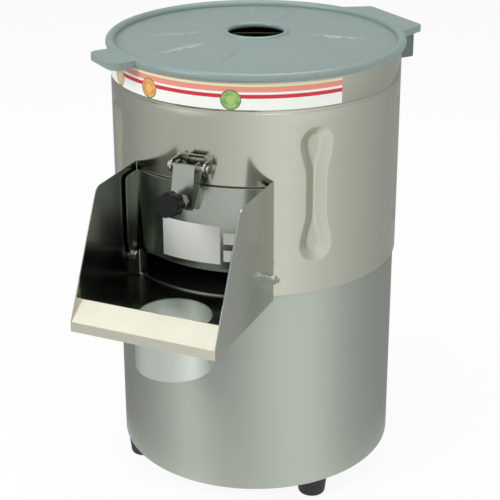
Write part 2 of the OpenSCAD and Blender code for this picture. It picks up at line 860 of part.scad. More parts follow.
module lid() {
    rib_angles = [grip_angle - 33, grip_angle + 3, grip_angle + 39, lock_angle - 34, lock_angle + 41];
    rib_mid_r = (deck_in_r + deck_out_r) / 2 - 6;
    rib_z = deck_in_z - (rib_mid_r - deck_in_r) * tan(deck_slope);
    color("slategray") difference() {
        union() {
            rotate_extrude() {
                translate([bead_c_r, bead_c_z]) circle(r = lid_bead_r);
                polygon([[feed_r + 3, deck_in_z - lid_t], [feed_r + 3, deck_in_z], [deck_in_r, deck_in_z],
                    [deck_out_r, deck_out_z], [bead_c_r, deck_out_z], [bead_c_r, lid_seat],
                    [skirt_r, lid_seat], [skirt_r, lid_seat - skirt_h],
                    [skirt_r - 2.5, lid_seat - skirt_h], [skirt_r - 2.5, deck_out_z - lid_t],
                    [deck_in_r, deck_in_z - lid_t]]);
                translate([feed_r + 3.5, deck_in_z - 1]) circle(r = 3.5);
            }
            for (a = rib_angles)
                at_angle(a) translate([0, -rib_mid_r, rib_z]) rotate([deck_slope, 0, 0])
                    rib(rib_len, rib_w, rib_h);
            difference() {
                translate([0, 0, lid_seat + 0.5]) {
                    at_angle(grip_angle) translate([0, -drum_r - grip_out, 0])
                        linear_extrude(height = tab_t) rounded_rect(66, 60, 12);
                    at_angle(lock_angle) linear_extrude(height = tab_t) lock_tab_outline();
                }
                cylinder(r = bead_c_r, h = lid_seat + 40);
            }
        }
        at_angle(lock_angle) translate([0, -sensor_reach - 4, lid_seat - 5])
            cylinder(r = magnet_r, h = 5.5 + magnet_t);
    }
}

module lid_magnet() {
    color("dimgray") at_angle(lock_angle)
        translate([0, -sensor_reach - 4, lid_seat + 0.5]) cylinder(r = magnet_r - seat, h = magnet_t - seat);
}

module interlock_housing() {
    wall = 2.5;
    color("slategray") difference() {
        at_angle(lock_angle) translate([0, 0, housing_top - housing_h]) linear_extrude(height = housing_h)
            translate([0, -drum_r + 10 - housing_out / 2])
                rounded_rect(2 * housing_half_w, housing_out + 20, 4);
        at_angle(lock_angle) translate([0, 0, housing_top - housing_h + wall])
            linear_extrude(height = housing_h - 2 * wall)
                translate([0, -drum_r + 10 - housing_out / 2])
                    rounded_rect(2 * housing_half_w - 2 * wall, housing_out + 20 - 2 * wall, 2);
        translate([0, 0, housing_top - housing_h - 1]) cylinder(r = drum_r + fit, h = housing_h + 2);
    }
}

module interlock_sensor() {
    color("gold") at_angle(lock_angle)
        translate([-8, -sensor_reach - 5, housing_top - 2.5 - 16 - seat]) cube([16, 9, 16]);
}

module disc_plate() {
    color("silver") difference() {
        union() {
            translate([0, 0, disc_z]) cylinder(r = disc_r, h = disc_t);
            translate([0, 0, disc_z - 6]) cylinder(r = hub_r, h = 8);
        }
        translate([0, 0, disc_z - 7]) cylinder(r = shaft_r - 2 + seat, h = disc_t + 8);
        translate([0, 0, disc_z - 7]) cylinder(r = shaft_r + seat, h = shaft_shoulder_z - disc_z + 7 + seat);
    }
}

// Grit-coated layer with raised waves that run from the hub to the rim
module abrasive_layer() {
    wave_r = 34;
    z0 = disc_z + disc_t + seat;
    color("dimgray") difference() {
        intersection() {
            union() {
                translate([0, 0, z0]) cylinder(r = disc_r, h = grit_t);
                for (a = [0:120:240])
                    rotate([0, 0, a]) translate([0, -hub_r - 6, z0 + grit_t + wave_h - wave_r])
                        rotate([90, 0, 0]) cylinder(r = wave_r, h = disc_r - hub_r - 26);
            }
            translate([0, 0, z0]) cylinder(r = disc_r, h = grit_t + wave_h + 5);
        }
        translate([0, 0, z0 - 1]) cylinder(r = hub_r + 2, h = grit_t + wave_h + 5);
    }
}

// Two blades under the disc that sweep water and peel to the waste slot
module waste_paddles() {
    low = pan_top + 3;
    inner = housing_bolt_reach + m6_head_r + 4;
    color("silver") difference() {
        for (a = [60, 240])
            rotate([0, 0, a]) translate([-2, -disc_r + 2, low])
                cube([4, disc_r - 2 - inner, disc_z - seat - low]);
    }
}

module disc_nut() {
    nut_z = disc_z + disc_t + 2 * seat;
    bore_top = disc_top + 14;
    color("silver") difference() {
        union() {
            translate([0, 0, nut_z]) cylinder(r = hub_r, h = 4);
            translate([0, 0, nut_z + 3]) cylinder(r = hub_r - 5, h = bore_top + 4 - nut_z - 3);
        }
        translate([0, 0, nut_z - 1]) cylinder(r = shaft_r - 2 + seat, h = bore_top - nut_z + 1);
    }
}

module main_shaft() {
    color("silver") {
        translate([0, 0, shaft_low_z]) cylinder(r = shaft_r, h = shaft_shoulder_z - shaft_low_z);
        translate([0, 0, shaft_shoulder_z - 1])
            cylinder(r = shaft_r - 2, h = disc_top + 13 - shaft_shoulder_z);
    }
}

// Cast sleeve that hangs from the chamber floor and holds both bearings
module bearing_housing() {
    flange_z = pan_z - housing_flange_t - seat;
    color("darkgray") difference() {
        union() {
            translate([0, 0, housing_z]) cylinder(r = housing_r, h = flange_z - housing_z + 1);
            translate([0, 0, flange_z]) cylinder(r = housing_flange_r, h = housing_flange_t);
            for (a = [0:90:270])
                rotate([0, 0, a])
                    translate([housing_r - 2, -housing_rib_t / 2, flange_z - housing_rib_h])
                        cube([housing_flange_r - housing_r - 6, housing_rib_t, housing_rib_h + 1]);
        }
        translate([0, 0, race_low_z + race_t]) cylinder(r = shaft_r + 6, h = 200);
        translate([0, 0, housing_z - 1]) cylinder(r = race_r + seat, h = race_low_z + race_t - housing_z + 1);
        translate([0, 0, race_high_z]) cylinder(r = race_r + seat, h = 60);
        housing_bolt_places() translate([0, 0, flange_z - 1])
            cylinder(r = m6_r + bolt_fit, h = housing_flange_t + 2);
    }
}

module housing_bolts() {
    low = pan_z - housing_flange_t - 2 * seat;
    color("silver") housing_bolt_places() {
        translate([0, 0, low - m6_head_t]) hex(m6_head_r, m6_head_t);
        translate([0, 0, low - 1]) cylinder(r = m6_r, h = housing_flange_t + pan_t + m6_nut_t + 3);
        translate([0, 0, pan_top + seat]) hex(m6_head_r, m6_nut_t);
    }
}

module bearing_outer_rings() {
    color("silver") for (z = [race_low_z, race_high_z])
        ring(outer_race_r, race_r, z + seat, race_t - 2 * seat);
}

module bearing_balls() {
    color("gray") for (z = [race_low_z, race_high_z], i = [0:8])
        rotate([0, 0, i * 40]) translate([(inner_race_r + outer_race_r) / 2, 0, z + race_t / 2])
            sphere(r = ball_r, $fn = 32);
}

module bearing_inner_rings() {
    color("silver") for (z = [race_low_z, race_high_z])
        ring(shaft_r + seat, inner_race_r, z + seat, race_t - 2 * seat);
}

// Lip seal under the collar, running on the shaft
module shaft_seal() {
    low = race_high_z + race_t + 1;
    color("black") ring(shaft_r + run_fit, race_r - seat, low, 8);
}

// Flat outline of a belt's loop, off its pitch line by g on every side: the two circles and
// the straight runs between them.
module belt_outline(g) {
    ra = driven_r + g;
    rb = driver_r + g;
    a = acos((ra - rb) / motor_out);
    rotate([0, 0, 90]) {
        circle(r = ra);
        translate([motor_out, 0]) circle(r = rb);
        polygon([[0, 0], [ra * cos(a), ra * sin(a)],
            [motor_out + rb * cos(a), rb * sin(a)], [motor_out, 0],
            [motor_out + rb * cos(a), -rb * sin(a)], [ra * cos(a), -ra * sin(a)]]);
    }
}

// A pulley with a V groove whose belt runs at the pitch radius
module pulley(pitch_r, hub_radius, bore_r) {
    deep = pitch_r - belt_d / 2 - groove_gap;
    rim = pitch_r + belt_d / 2 + 1;
    rotate_extrude() polygon([
        [bore_r, pulley_z - 4], [hub_radius, pulley_z - 4], [hub_radius, pulley_z],
        [rim, pulley_z], [rim, belt_z - belt_w / 2 - 2], [deep, belt_z - belt_w / 2 - groove_gap],
        [deep, belt_z + belt_w / 2 + groove_gap], [rim, belt_z + belt_w / 2 + 2],
        [rim, pulley_z + pulley_t], [bore_r, pulley_z + pulley_t]]);
}

module driven_pulley() {
    color("gray") difference() {
        pulley(driven_r, hub_r, shaft_r + seat);
        for (a = [0:60:300])
            rotate([0, 0, a]) translate([driven_r * 0.6, 0, pulley_z - 1])
                cylinder(r = driven_r * 0.18, h = pulley_t + 2);
    }
}

module drive_belt() {
    color("black") translate([0, 0, belt_z - belt_w / 2]) linear_extrude(height = belt_w)
        difference() {
            belt_outline(belt_d / 2);
            belt_outline(-belt_d / 2);
        }
}

module motor_pulley() {
    color("gray") motor_frame() pulley(driver_r, motor_shaft_r + 2.2, motor_shaft_r + seat);
}

module motor_rotor() {
    color("silver") motor_frame() {
        translate([0, 0, pulley_z - 6]) cylinder(r = motor_shaft_r, h = fan_z + fan_h - pulley_z + 6);
        translate([0, 0, core_z]) cylinder(r = rotor_r, h = core_h);
    }
}

module motor_shell() {
    color("dimgray") motor_frame() translate([0, 0, motor_z + bell_t])
        linear_extrude(height = motor_h - 2 * bell_t) difference() {
            union() {
                circle(r = motor_r);
                for (a = [0:20:340])
                    rotate(a) translate([motor_r - 1, -1]) square([4, 2]);
            }
            circle(r = motor_r - 3);
        }
}

module motor_stator() {
    color("brown") motor_frame() {
        ring(stator_in_r, motor_r - 3 - seat, core_z, core_h);
        for (z = [core_z - 7, core_z + core_h + seat])
            ring(stator_in_r + 3, motor_r - 8, z, 7 - seat);
    }
}

module motor_end_bells() {
    color("dimgray") motor_frame() for (z = [motor_z, motor_z + motor_h - bell_t]) difference() {
        translate([0, 0, z + seat]) cylinder(r = motor_r, h = bell_t - 2 * seat);
        translate([0, 0, z - 1]) cylinder(r = motor_bearing_r, h = bell_t + 2);
    }
}

module motor_bearings() {
    color("silver") motor_frame() for (z = [motor_z, motor_z + motor_h - bell_t])
        ring(motor_shaft_r + run_fit, motor_bearing_r - seat, z + seat, bell_t - 2 * seat);
}

module motor_fan() {
    color("black") motor_frame() difference() {
        union() {
            translate([0, 0, fan_z]) cylinder(r = motor_shaft_r + 5, h = fan_h - 1);
            translate([0, 0, fan_z]) cylinder(r = motor_r - 8, h = 1.5);
            for (a = [0:45:315])
                rotate([0, 0, a]) translate([motor_shaft_r + 3, -0.8, fan_z])
                    cube([motor_r - 12 - motor_shaft_r, 1.6, fan_h - 1]);
        }
        translate([0, 0, fan_z - 1]) cylinder(r = motor_shaft_r + seat, h = fan_h + 2);
    }
}

module fan_cover() {
    low = motor_z + motor_h + seat;
    color("dimgray") motor_frame() difference() {
        translate([0, 0, low]) cylinder(r = motor_r, h = cover_h);
        translate([0, 0, low - 1]) cylinder(r = motor_r - 1.5, h = cover_h - 0.5);
        for (a = [0:30:330], reach = [18, 30, 42])
            rotate([0, 0, a + reach]) translate([reach, 0, low]) cylinder(r = 3, h = cover_h + 2);
    }
}

module motor_plate() {
    color("silver") difference() {
        translate([0, 0, plate_z]) linear_extrude(height = plate_t - seat) difference() {
            intersection() {
                circle(r = cab_in_r - 3);
                translate([-plate_half_w, plate_front]) square([2 * plate_half_w, cab_in_r]);
            }
            circle(r = housing_r + 4);
        }
        motor_frame() translate([0, 0, plate_z - 1]) cylinder(r = motor_shaft_r + 6, h = plate_t + 2);
        post_places() translate([0, 0, plate_z - 1]) cylinder(r = m6_r + bolt_fit, h = plate_t + 2);
    }
}

// Four posts that carry the motor plate, each with a stud and a nut at both ends
module motor_posts() {
    color("silver") post_places() {
        translate([0, 0, base_top + seat]) cylinder(r = post_r, h = post_h - 2 * seat);
        translate([0, 0, base_z + seat]) cylinder(r = m6_r, h = post_h + base_t + plate_t + 8);
        translate([0, 0, plate_z + plate_t]) hex(m6_head_r, m6_nut_t);
    }
}

module capacitor() {
    color("white") translate([cap_spot[0], cap_spot[1], cap_z]) {
        cylinder(r = cap_r, h = cap_h);
        for (x = [-6, 6])
            translate([x - 2, -0.5, cap_h - 1]) cube([4, 1, 9]);
    }
}

// Clip round the capacitor, fixed to the cabinet's wall
module capacitor_clip() {
    color("silver") translate([0, 0, cap_z + clip_lift]) linear_extrude(height = clip_h) difference() {
        intersection() {
            union() {
                translate(cap_spot) circle(r = cap_r + clip_t);
                rotate(cap_turn) translate([cap_out, -clip_w / 2])
                    square([cab_r - cap_out, clip_w]);
            }
            circle(r = cab_in_r - seat);
        }
        translate(cap_spot) circle(r = cap_r + seat);
    }
}

module back_frame() {
    at_angle(180) children();
}

module switch_box() {
    deep = box_d + 8;
    color("dimgray") difference() {
        back_frame() translate([0, -box_out, box_z + box_h / 2]) rotate([-90, 0, 0])
            linear_extrude(height = deep) rounded_rect(box_w, box_h, 6);
        back_frame() translate([0, -box_out + box_wall, box_z + box_h / 2]) rotate([-90, 0, 0])
            linear_extrude(height = deep) rounded_rect(box_w - 2 * box_wall, box_h - 2 * box_wall, 4);
        back_frame() for (z = [start_z, stop_z])
            translate([0, -box_out + box_wall + 1, z]) rotate([90, 0, 0])
                cylinder(r = button_r + fit, h = box_wall + 2);
        translate([0, 0, box_z - 1]) cylinder(r = cab_r + seat, h = box_h + 2);
    }
}

// Contact blocks that the buttons press, held by the box's side walls
module switch_blocks() {
    half_w = box_w / 2 - box_wall - seat;
    inner = box_out - box_wall - button_travel - block_d;
    color("black") back_frame() for (z = [start_z, stop_z])
        translate([-half_w, -inner, z - 10]) cube([2 * half_w, block_d, 20]);
}

module push_button(z) {
    inner = box_out - box_wall - button_travel - block_d;
    back_frame() translate([0, 0, z]) rotate([90, 0, 0]) {
        translate([0, 0, box_out - box_wall - 2]) cylinder(r = button_r, h = box_wall + 2 + button_out);
        translate([0, 0, inner + button_travel + fit])
            cylinder(r = stem_r, h = box_out - box_wall - 1 - inner - button_travel - fit);
    }
}

module start_button() {
    color("green") push_button(start_z);
}

module stop_button() {
    color("red") push_button(stop_z);
}

// Nylon gland for the mains cord
module cable_gland() {
    color("black") back_frame() translate([0, 0, gland_z]) rotate([90, 0, 0]) difference() {
        union() {
            translate([0, 0, cab_in_r - 8]) cylinder(r = gland_r, h = 22);
            translate([0, 0, cab_in_r - 7 - seat]) hex(gland_r + 5, 5);
            translate([0, 0, cab_r + seat]) hex(gland_r + 4, 6);
            translate([0, 0, cab_r + 6]) cylinder(r = gland_r + 1, h = 8);
            translate([0, 0, cab_r + 14]) cylinder(r1 = gland_r + 1, r2 = cord_r + 2, h = 6);
        }
        translate([0, 0, cab_in_r - 20]) cylinder(r = cord_r, h = 60);
    }
}

cabinet_shell();
cabinet_back();
base_plate();
rubber_feet();
foot_bolts();
foot_nuts();
floor_pan();
drum_shell();
lap_screws();
label_band();
chute_tray();
drop_tube();
hinge_bolts();
hinge_spacers();
hinge_nuts();
door_plate();
door_catch();
door_seal();
door_labels();
strap_lugs();
strap_pin();
clamp_strap();
clamp_nut();
clamp_screw();
clamp_knob();
clamp_foot();
lid();
lid_magnet();
interlock_housing();
interlock_sensor();
disc_plate();
abrasive_layer();
waste_paddles();
disc_nut();
main_shaft();
bearing_housing();
housing_bolts();
bearing_outer_rings();
bearing_balls();
bearing_inner_rings();
shaft_seal();
driven_pulley();
drive_belt();
motor_pulley();
motor_rotor();
motor_shell();
motor_stator();
motor_end_bells();
motor_bearings();
motor_fan();
fan_cover();
motor_plate();
motor_posts();
capacitor();
capacitor_clip();
switch_box();
switch_blocks();
start_button();
stop_button();
cable_gland();
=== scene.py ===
"""Looks of a counter-top vegetable peeler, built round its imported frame."""

import json
import math

import bpy
from bpy.props import FloatProperty, FloatVectorProperty, IntProperty, PointerProperty
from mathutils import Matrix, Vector


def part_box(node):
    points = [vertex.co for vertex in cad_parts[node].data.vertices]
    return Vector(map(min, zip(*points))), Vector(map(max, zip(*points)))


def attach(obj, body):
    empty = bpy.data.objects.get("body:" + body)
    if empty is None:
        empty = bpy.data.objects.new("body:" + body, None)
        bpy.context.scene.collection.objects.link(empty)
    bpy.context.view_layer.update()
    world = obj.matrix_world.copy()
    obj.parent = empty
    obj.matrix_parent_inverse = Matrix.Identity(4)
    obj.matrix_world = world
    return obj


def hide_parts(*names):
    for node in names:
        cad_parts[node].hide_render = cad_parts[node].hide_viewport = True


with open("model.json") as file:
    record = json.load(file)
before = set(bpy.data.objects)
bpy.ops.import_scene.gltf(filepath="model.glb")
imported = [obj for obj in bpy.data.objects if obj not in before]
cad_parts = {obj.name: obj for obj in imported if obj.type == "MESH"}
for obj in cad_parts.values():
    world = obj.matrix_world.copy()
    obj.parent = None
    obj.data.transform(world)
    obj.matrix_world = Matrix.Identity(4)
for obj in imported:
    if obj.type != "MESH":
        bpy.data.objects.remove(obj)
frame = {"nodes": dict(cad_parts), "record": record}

bl_info = {
    "name": "Vegetable Peeler Finishes",
    "version": (1, 0, 0),
    "blender": (4, 5, 0),
    "location": "View3D > Sidebar > Peeler",
    "description": "Dresses the frame of a drum peeler in steel, plastic, rubber and grit",
    "category": "Object",
}

MM = 0.001


def box_of(node):
    """Lowest and highest corner of a frame node."""
    low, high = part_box(node)
    return Vector(low), Vector(high)


DRUM_LOW, DRUM_HIGH = box_of("drum_shell")
CHUTE_LOW, CHUTE_HIGH = box_of("chute_tray")
BAND_TOP = box_of("label_band")[1].z
DRUM_RADIUS = DRUM_HIGH.x

# Clean-up of a copied mesh before its edges are rounded: points closer than this are merged, and
# faces that meet at less than this angle become one
MERGE_DISTANCE = 0.01 * MM
FLAT_ANGLE = math.radians(0.6)
# Edges sharper than this many degrees are rounded, and the shading stays smooth a little past it
SHARP_DEGREES = 32.0
SMOOTH_MARGIN = 6.0

# Brush marks run this many times a metre along the sheet, and reflections spread across them
BRUSH_RUN = 6.0
BRUSH_TURN = 0.25

# The chute: depth and tone of the lip in front of its floor, which is a painted highlight,
# thickness of the skin that counts as its outside, and the range of dark tones of the painted
# shade inside it
LIP_DEPTH = 22.0 * MM
LIP_HIGHLIGHT_TONE = (0.74, 0.73, 0.60)
CHUTE_SKIN = 0.8 * MM
PAINTED_SHADE_DARK = 0.34
PAINTED_SHADE_LIGHT = 0.52

# The band's stripes, by the distance of each one's lower edge below the band's top
STRIPES = (
    (16.6 * MM, "red"),
    (12.0 * MM, "paper"),
    (9.2 * MM, "salmon"),
    (2.8 * MM, "cream"),
)
# The band's round motifs: angle round the drum, dark tone and light tone
MOTIFS = (
    (-40.0, (0.55, 0.36, 0.16), (0.76, 0.60, 0.33)),
    (-20.0, (0.60, 0.22, 0.05), (0.86, 0.45, 0.12)),
    (14.0, (0.12, 0.30, 0.07), (0.38, 0.55, 0.16)),
)
MOTIF_DROP = 18.5 * MM
MOTIF_RIM = 1.0 * MM
MOTIF_RIM_TONE = (0.05, 0.16, 0.07)
MOTIF_CORE = 0.42

# How finely the drum's sheet is divided: columns round it, cuts in a column at a dent and how far
# past the dent they go, rows near a dent's ends, and rows between them
COARSE_COLUMNS = 180
FINE_CUTS = 4
FINE_MARGIN = 6.0 * MM
ROW_STEP = 1.5 * MM
WIDE_ROW_STEP = 2.4 * ROW_STEP
ROW_MARGIN = 1.0 * MM
# Rows across the groove, as shares of its width, and the share over which each side slopes
GROOVE_ROWS = (-0.5, -0.38, -0.25, 0.0, 0.25, 0.38, 0.5)
GROOVE_SIDE = 0.25
# Close rows reach this many end half widths from each end of a dent
END_REACH = 2.2
# Share of a dent's half height at which its waist starts to widen
FLARE_START = 0.35
# Width over which the sheet bends in at a dent's outline
DENT_BEND = 2.0 * MM
# Share of a dent's depth at which its flanks start to level out
VALLEY = 0.85
# Points with less than this share of a depth aren't moved
LEAST_SHARE = 0.0005
# The opening's cutter reaches this far below the drum
CUTTER_BELOW = 5.0 * MM
DRUM_SMOOTH_DEGREES = 80.0

# The studio's floor: its size, and how much of it is white glow for the rays that see it
FLOOR_SIZE = 14.0
FLOOR_VEIL = 0.9
# The studio's cards: how far they stand, the steps round them, how far their apron reaches in
# and rises, and how light they are by the angle round the drum
CARD_REACH = 0.42
CARD_STEPS = 128
CARD_APRON = 0.21
APRON_RISE = 4.0 * MM
CARD_HEIGHT = 1.2
CARD_LEVELS = (
    (-180.0, 0.42),
    (-130.0, 0.36),
    (-92.0, 0.36),
    (-75.0, 0.40),
    (-58.0, 0.50),
    (-36.0, 0.64),
    (-8.0, 0.64),
    (10.0, 0.76),
    (24.0, 0.88),
    (38.0, 1.02),
    (52.0, 0.90),
    (75.0, 0.70),
    (94.0, 0.60),
    (116.0, 0.48),
    (138.0, 0.42),
    (160.0, 0.38),
    (180.0, 0.42),
)
# The soft boxes: name, place, width, height and power, and the point that they face
SOFT_BOXES = (
    ("key_box", (-1.3, -1.9, 1.9), 1.3, 1.3, 38.0),
    ("fill_box", (2.2, -0.9, 1.2), 1.2, 1.6, 16.0),
    ("top_box", (0.1, 0.3, 2.6), 1.8, 1.8, 26.0),
)
LIGHTS_AIM = (0.0, 0.0, 0.32)
# Light of the room, and the white paper that the camera and the reflections see
ROOM_TONE = (0.93, 0.95, 0.92, 1.0)
ROOM_STRENGTH = 0.42
PAPER_TONE = (1.0, 1.0, 1.0, 1.0)
PAPER_STRENGTH = 1.0
# The camera's sensor in millimetres and the shift of its picture
SENSOR_WIDTH = 36.0
SHIFT_X = -0.012
SHIFT_Y = -0.146


# Sizes and colours that a user would change


def length(name, default, description):
    """A property that holds a length in metres."""
    return FloatProperty(
        name=name, description=description, default=default, min=0.0, unit="LENGTH", precision=4
    )


def colour(name, default, description):
    """A property that holds a linear colour."""
    return FloatVectorProperty(
        name=name, description=description, default=default,
        subtype="COLOR", min=0.0, max=1.0, size=3,
    )


class PeelerSizes(bpy.types.PropertyGroup):
    """Widths of rounded edges, and sizes of what is marked on the surfaces"""

    sheet_edge: length("Sheet Edge", 0.35 * MM, "Width of the worn edge on bent sheet")
    casting_edge: length("Moulded Edge", 0.9 * MM, "Width of the rounded edge on moulded pieces")
    bolt_edge: length("Bolt Edge", 0.5 * MM, "Chamfer on bolts and nuts")
    motif_radius: length("Motif Radius", 12.0 * MM, "Radius of the round motifs on the band")
    brush_pitch: length("Brush Pitch", 0.35 * MM, "Distance between brush marks on the sheet")


class PeelerDents(bpy.types.PropertyGroup):
    """Sizes of the drum's sheet, its dents, its groove and its front opening"""

    depth: length("Dent Depth", 9.0 * MM, "Depth of the pressed dents")
    flank: FloatProperty(
        name="Flank Slope", description="Fall of a dent's flanks", default=0.67, min=0.1,
    )
    height: length("Dent Height", 168.0 * MM, "Height of a dent")
    end_half: length("End Half Width", 21.0 * MM, "Half of a dent's width at its ends")
    waist_half: length("Waist Half Width", 13.5 * MM, "Half of a dent's width at its waist")
    middle: length("Middle Height", 416.0 * MM, "Height of the dents' middles above the floor")
    first: FloatProperty(
        name="First Dent", description="Angle of the first dent from the chute", subtype="ANGLE",
        default=math.radians(46.0),
    )
    count: IntProperty(
        name="Dents", description="Number of dents round the drum", default=6, min=1,
    )
    groove_depth: length("Groove Depth", 1.5 * MM, "Depth of the rolled groove")
    groove_width: length("Groove Width", 5.0 * MM, "Width of the rolled groove")
    groove_drop: length("Groove Drop", 35.0 * MM, "Distance of the groove below the drum's top")
    sheet: length("Drum Sheet", 2.0 * MM, "Thickness of the drum's sheet")
    opening_half: length("Opening Half Width", 74.0 * MM, "Half of the front opening's width")
    opening_top: length("Opening Top", 421.0 * MM, "Height of the front opening's upper edge")


class PeelerColours(bpy.types.PropertyGroup):
    """Colours of what shows"""

    sheet: colour("Brushed Sheet", (0.47, 0.51, 0.45), "Brushed stainless sheet")
    tube: colour("Drop Tube", (0.66, 0.71, 0.66), "Bright sheet of the drop tube")
    mirror_sheet: colour("Polished Sheet", (0.56, 0.57, 0.48), "Polished stainless sheet")
    zinc: colour("Bolts", (0.50, 0.51, 0.48), "Plated bolts and turned steel")
    lid: colour("Lid", (0.235, 0.305, 0.29), "Moulded lid")
    housing: colour("Housing", (0.13, 0.17, 0.165), "Interlock housing and switch box")
    black: colour("Black", (0.006, 0.0065, 0.0065), "Black mouldings and rubber")
    paper: colour("Paper", (0.90, 0.91, 0.87), "White film of the labels")
    cream: colour("Cream Stripe", (0.83, 0.76, 0.48), "Uppermost stripe of the band")
    salmon: colour("Salmon Stripe", (0.80, 0.29, 0.22), "Wide stripe of the band")
    red: colour("Red Stripe", (0.62, 0.02, 0.04), "Narrow stripe of the band")
    grit: colour("Grit", (0.075, 0.07, 0.065), "Abrasive grit of the disc")
    floor: colour("Floor", (0.93, 0.93, 0.93), "Studio floor and backdrop")


class PeelerStage(bpy.types.PropertyGroup):
    """Place and lens of the camera"""

    camera_azimuth: FloatProperty(
        name="Camera Azimuth",
        description="Angle of the camera round the drum, from the chute's side",
        default=math.radians(23.1),
        subtype="ANGLE",
    )
    camera_pitch: FloatProperty(
        name="Camera Pitch",
        description="Angle by which the camera looks down",
        default=math.radians(20.57),
        subtype="ANGLE",
    )
    camera_distance: length(
        "Camera Distance", 1.6, "Level distance of the camera from the drum's axis"
    )
    camera_height: length("Camera Height", 0.9765, "Height of the camera above the floor")
    lens: FloatProperty(name="Lens", description="Focal length in millimetres", default=95.7)


# Small helpers for meshes


def deselect_all():
    """Leave edit mode and clear the selection."""
    if bpy.context.object and bpy.context.object.mode != "OBJECT":
        bpy.ops.object.mode_set(mode="OBJECT")
    bpy.ops.object.select_all(action="DESELECT")


def make_active(piece):
    """Select this piece alone."""
    deselect_all()
    piece.select_set(True)
    bpy.context.view_layer.objects.active = piece


def apply_place(piece):
    """Put a piece's place, turn and scale into its mesh."""
    make_active(piece)
    bpy.ops.object.transform_apply(location=True, rotation=True, scale=True)


def apply_modifiers(piece):
    """Put every modifier's result into the mesh."""
    make_active(piece)
    for modifier in list(piece.modifiers):
        bpy.ops.object.modifier_apply(modifier=modifier.name)


def smooth(piece, degrees=SHARP_DEGREES):
    """Shade a piece smooth across edges that turn less than this."""
    make_active(piece)
    bpy.ops.object.shade_smooth_by_angle(angle=math.radians(degrees))


def set_material(piece, finish):
    """Give a piece one material."""
    piece.data.materials.clear()
    piece.data.materials.append(finish)


def name_piece(piece, name, body):
    """Name a piece and hang it on the body that it rides."""
    piece.name = name
    piece.data.name = name
    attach(piece, body)


def slot_of(node):
    """The material slot that the record gives a node."""
    for entry in frame["record"]["subparts"]:
        if entry["node"] == node:
            return entry["material_slot"]
    raise RuntimeError(f"no subpart entry for {node}")


def body_of(node):
    """The body that a node belongs to."""
    for body, members in frame["record"]["behaviour"]["bodies"].items():
        if node in members:
            return body
    raise RuntimeError(f"no body holds {node}")


def softened(node, name, width, finish, segments=2, degrees=SHARP_DEGREES):
    """A copy of a node's mesh with its sharp edges rounded, which stands for the node."""
    source = frame["nodes"][node]
    piece = source.copy()
    piece.data = source.data.copy()
    for key in list(piece.keys()):
        del piece[key]
    piece.parent = None
    bpy.context.scene.collection.objects.link(piece)
    make_active(piece)
    bpy.ops.object.mode_set(mode="EDIT")
    bpy.ops.mesh.select_all(action="SELECT")
    bpy.ops.mesh.remove_doubles(threshold=MERGE_DISTANCE)
    bpy.ops.mesh.dissolve_limited(angle_limit=FLAT_ANGLE)
    bpy.ops.object.mode_set(mode="OBJECT")
    if piece.data.has_custom_normals:
        bpy.ops.mesh.customdata_custom_splitnormals_clear()
    bevel = piece.modifiers.new("Rounded edges", "BEVEL")
    bevel.width = width
    bevel.segments = segments
    bevel.limit_method = "ANGLE"
    bevel.angle_limit = math.radians(degrees)
    bevel.use_clamp_overlap = True
    apply_modifiers(piece)
    smooth(piece, degrees + SMOOTH_MARGIN)
    weighted = piece.modifiers.new("Weighted normals", "WEIGHTED_NORMAL")
    weighted.keep_sharp = True
    apply_modifiers(piece)
    set_material(piece, finish)
    name_piece(piece, name, body_of(node))
    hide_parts(node)
    return piece


# Materials


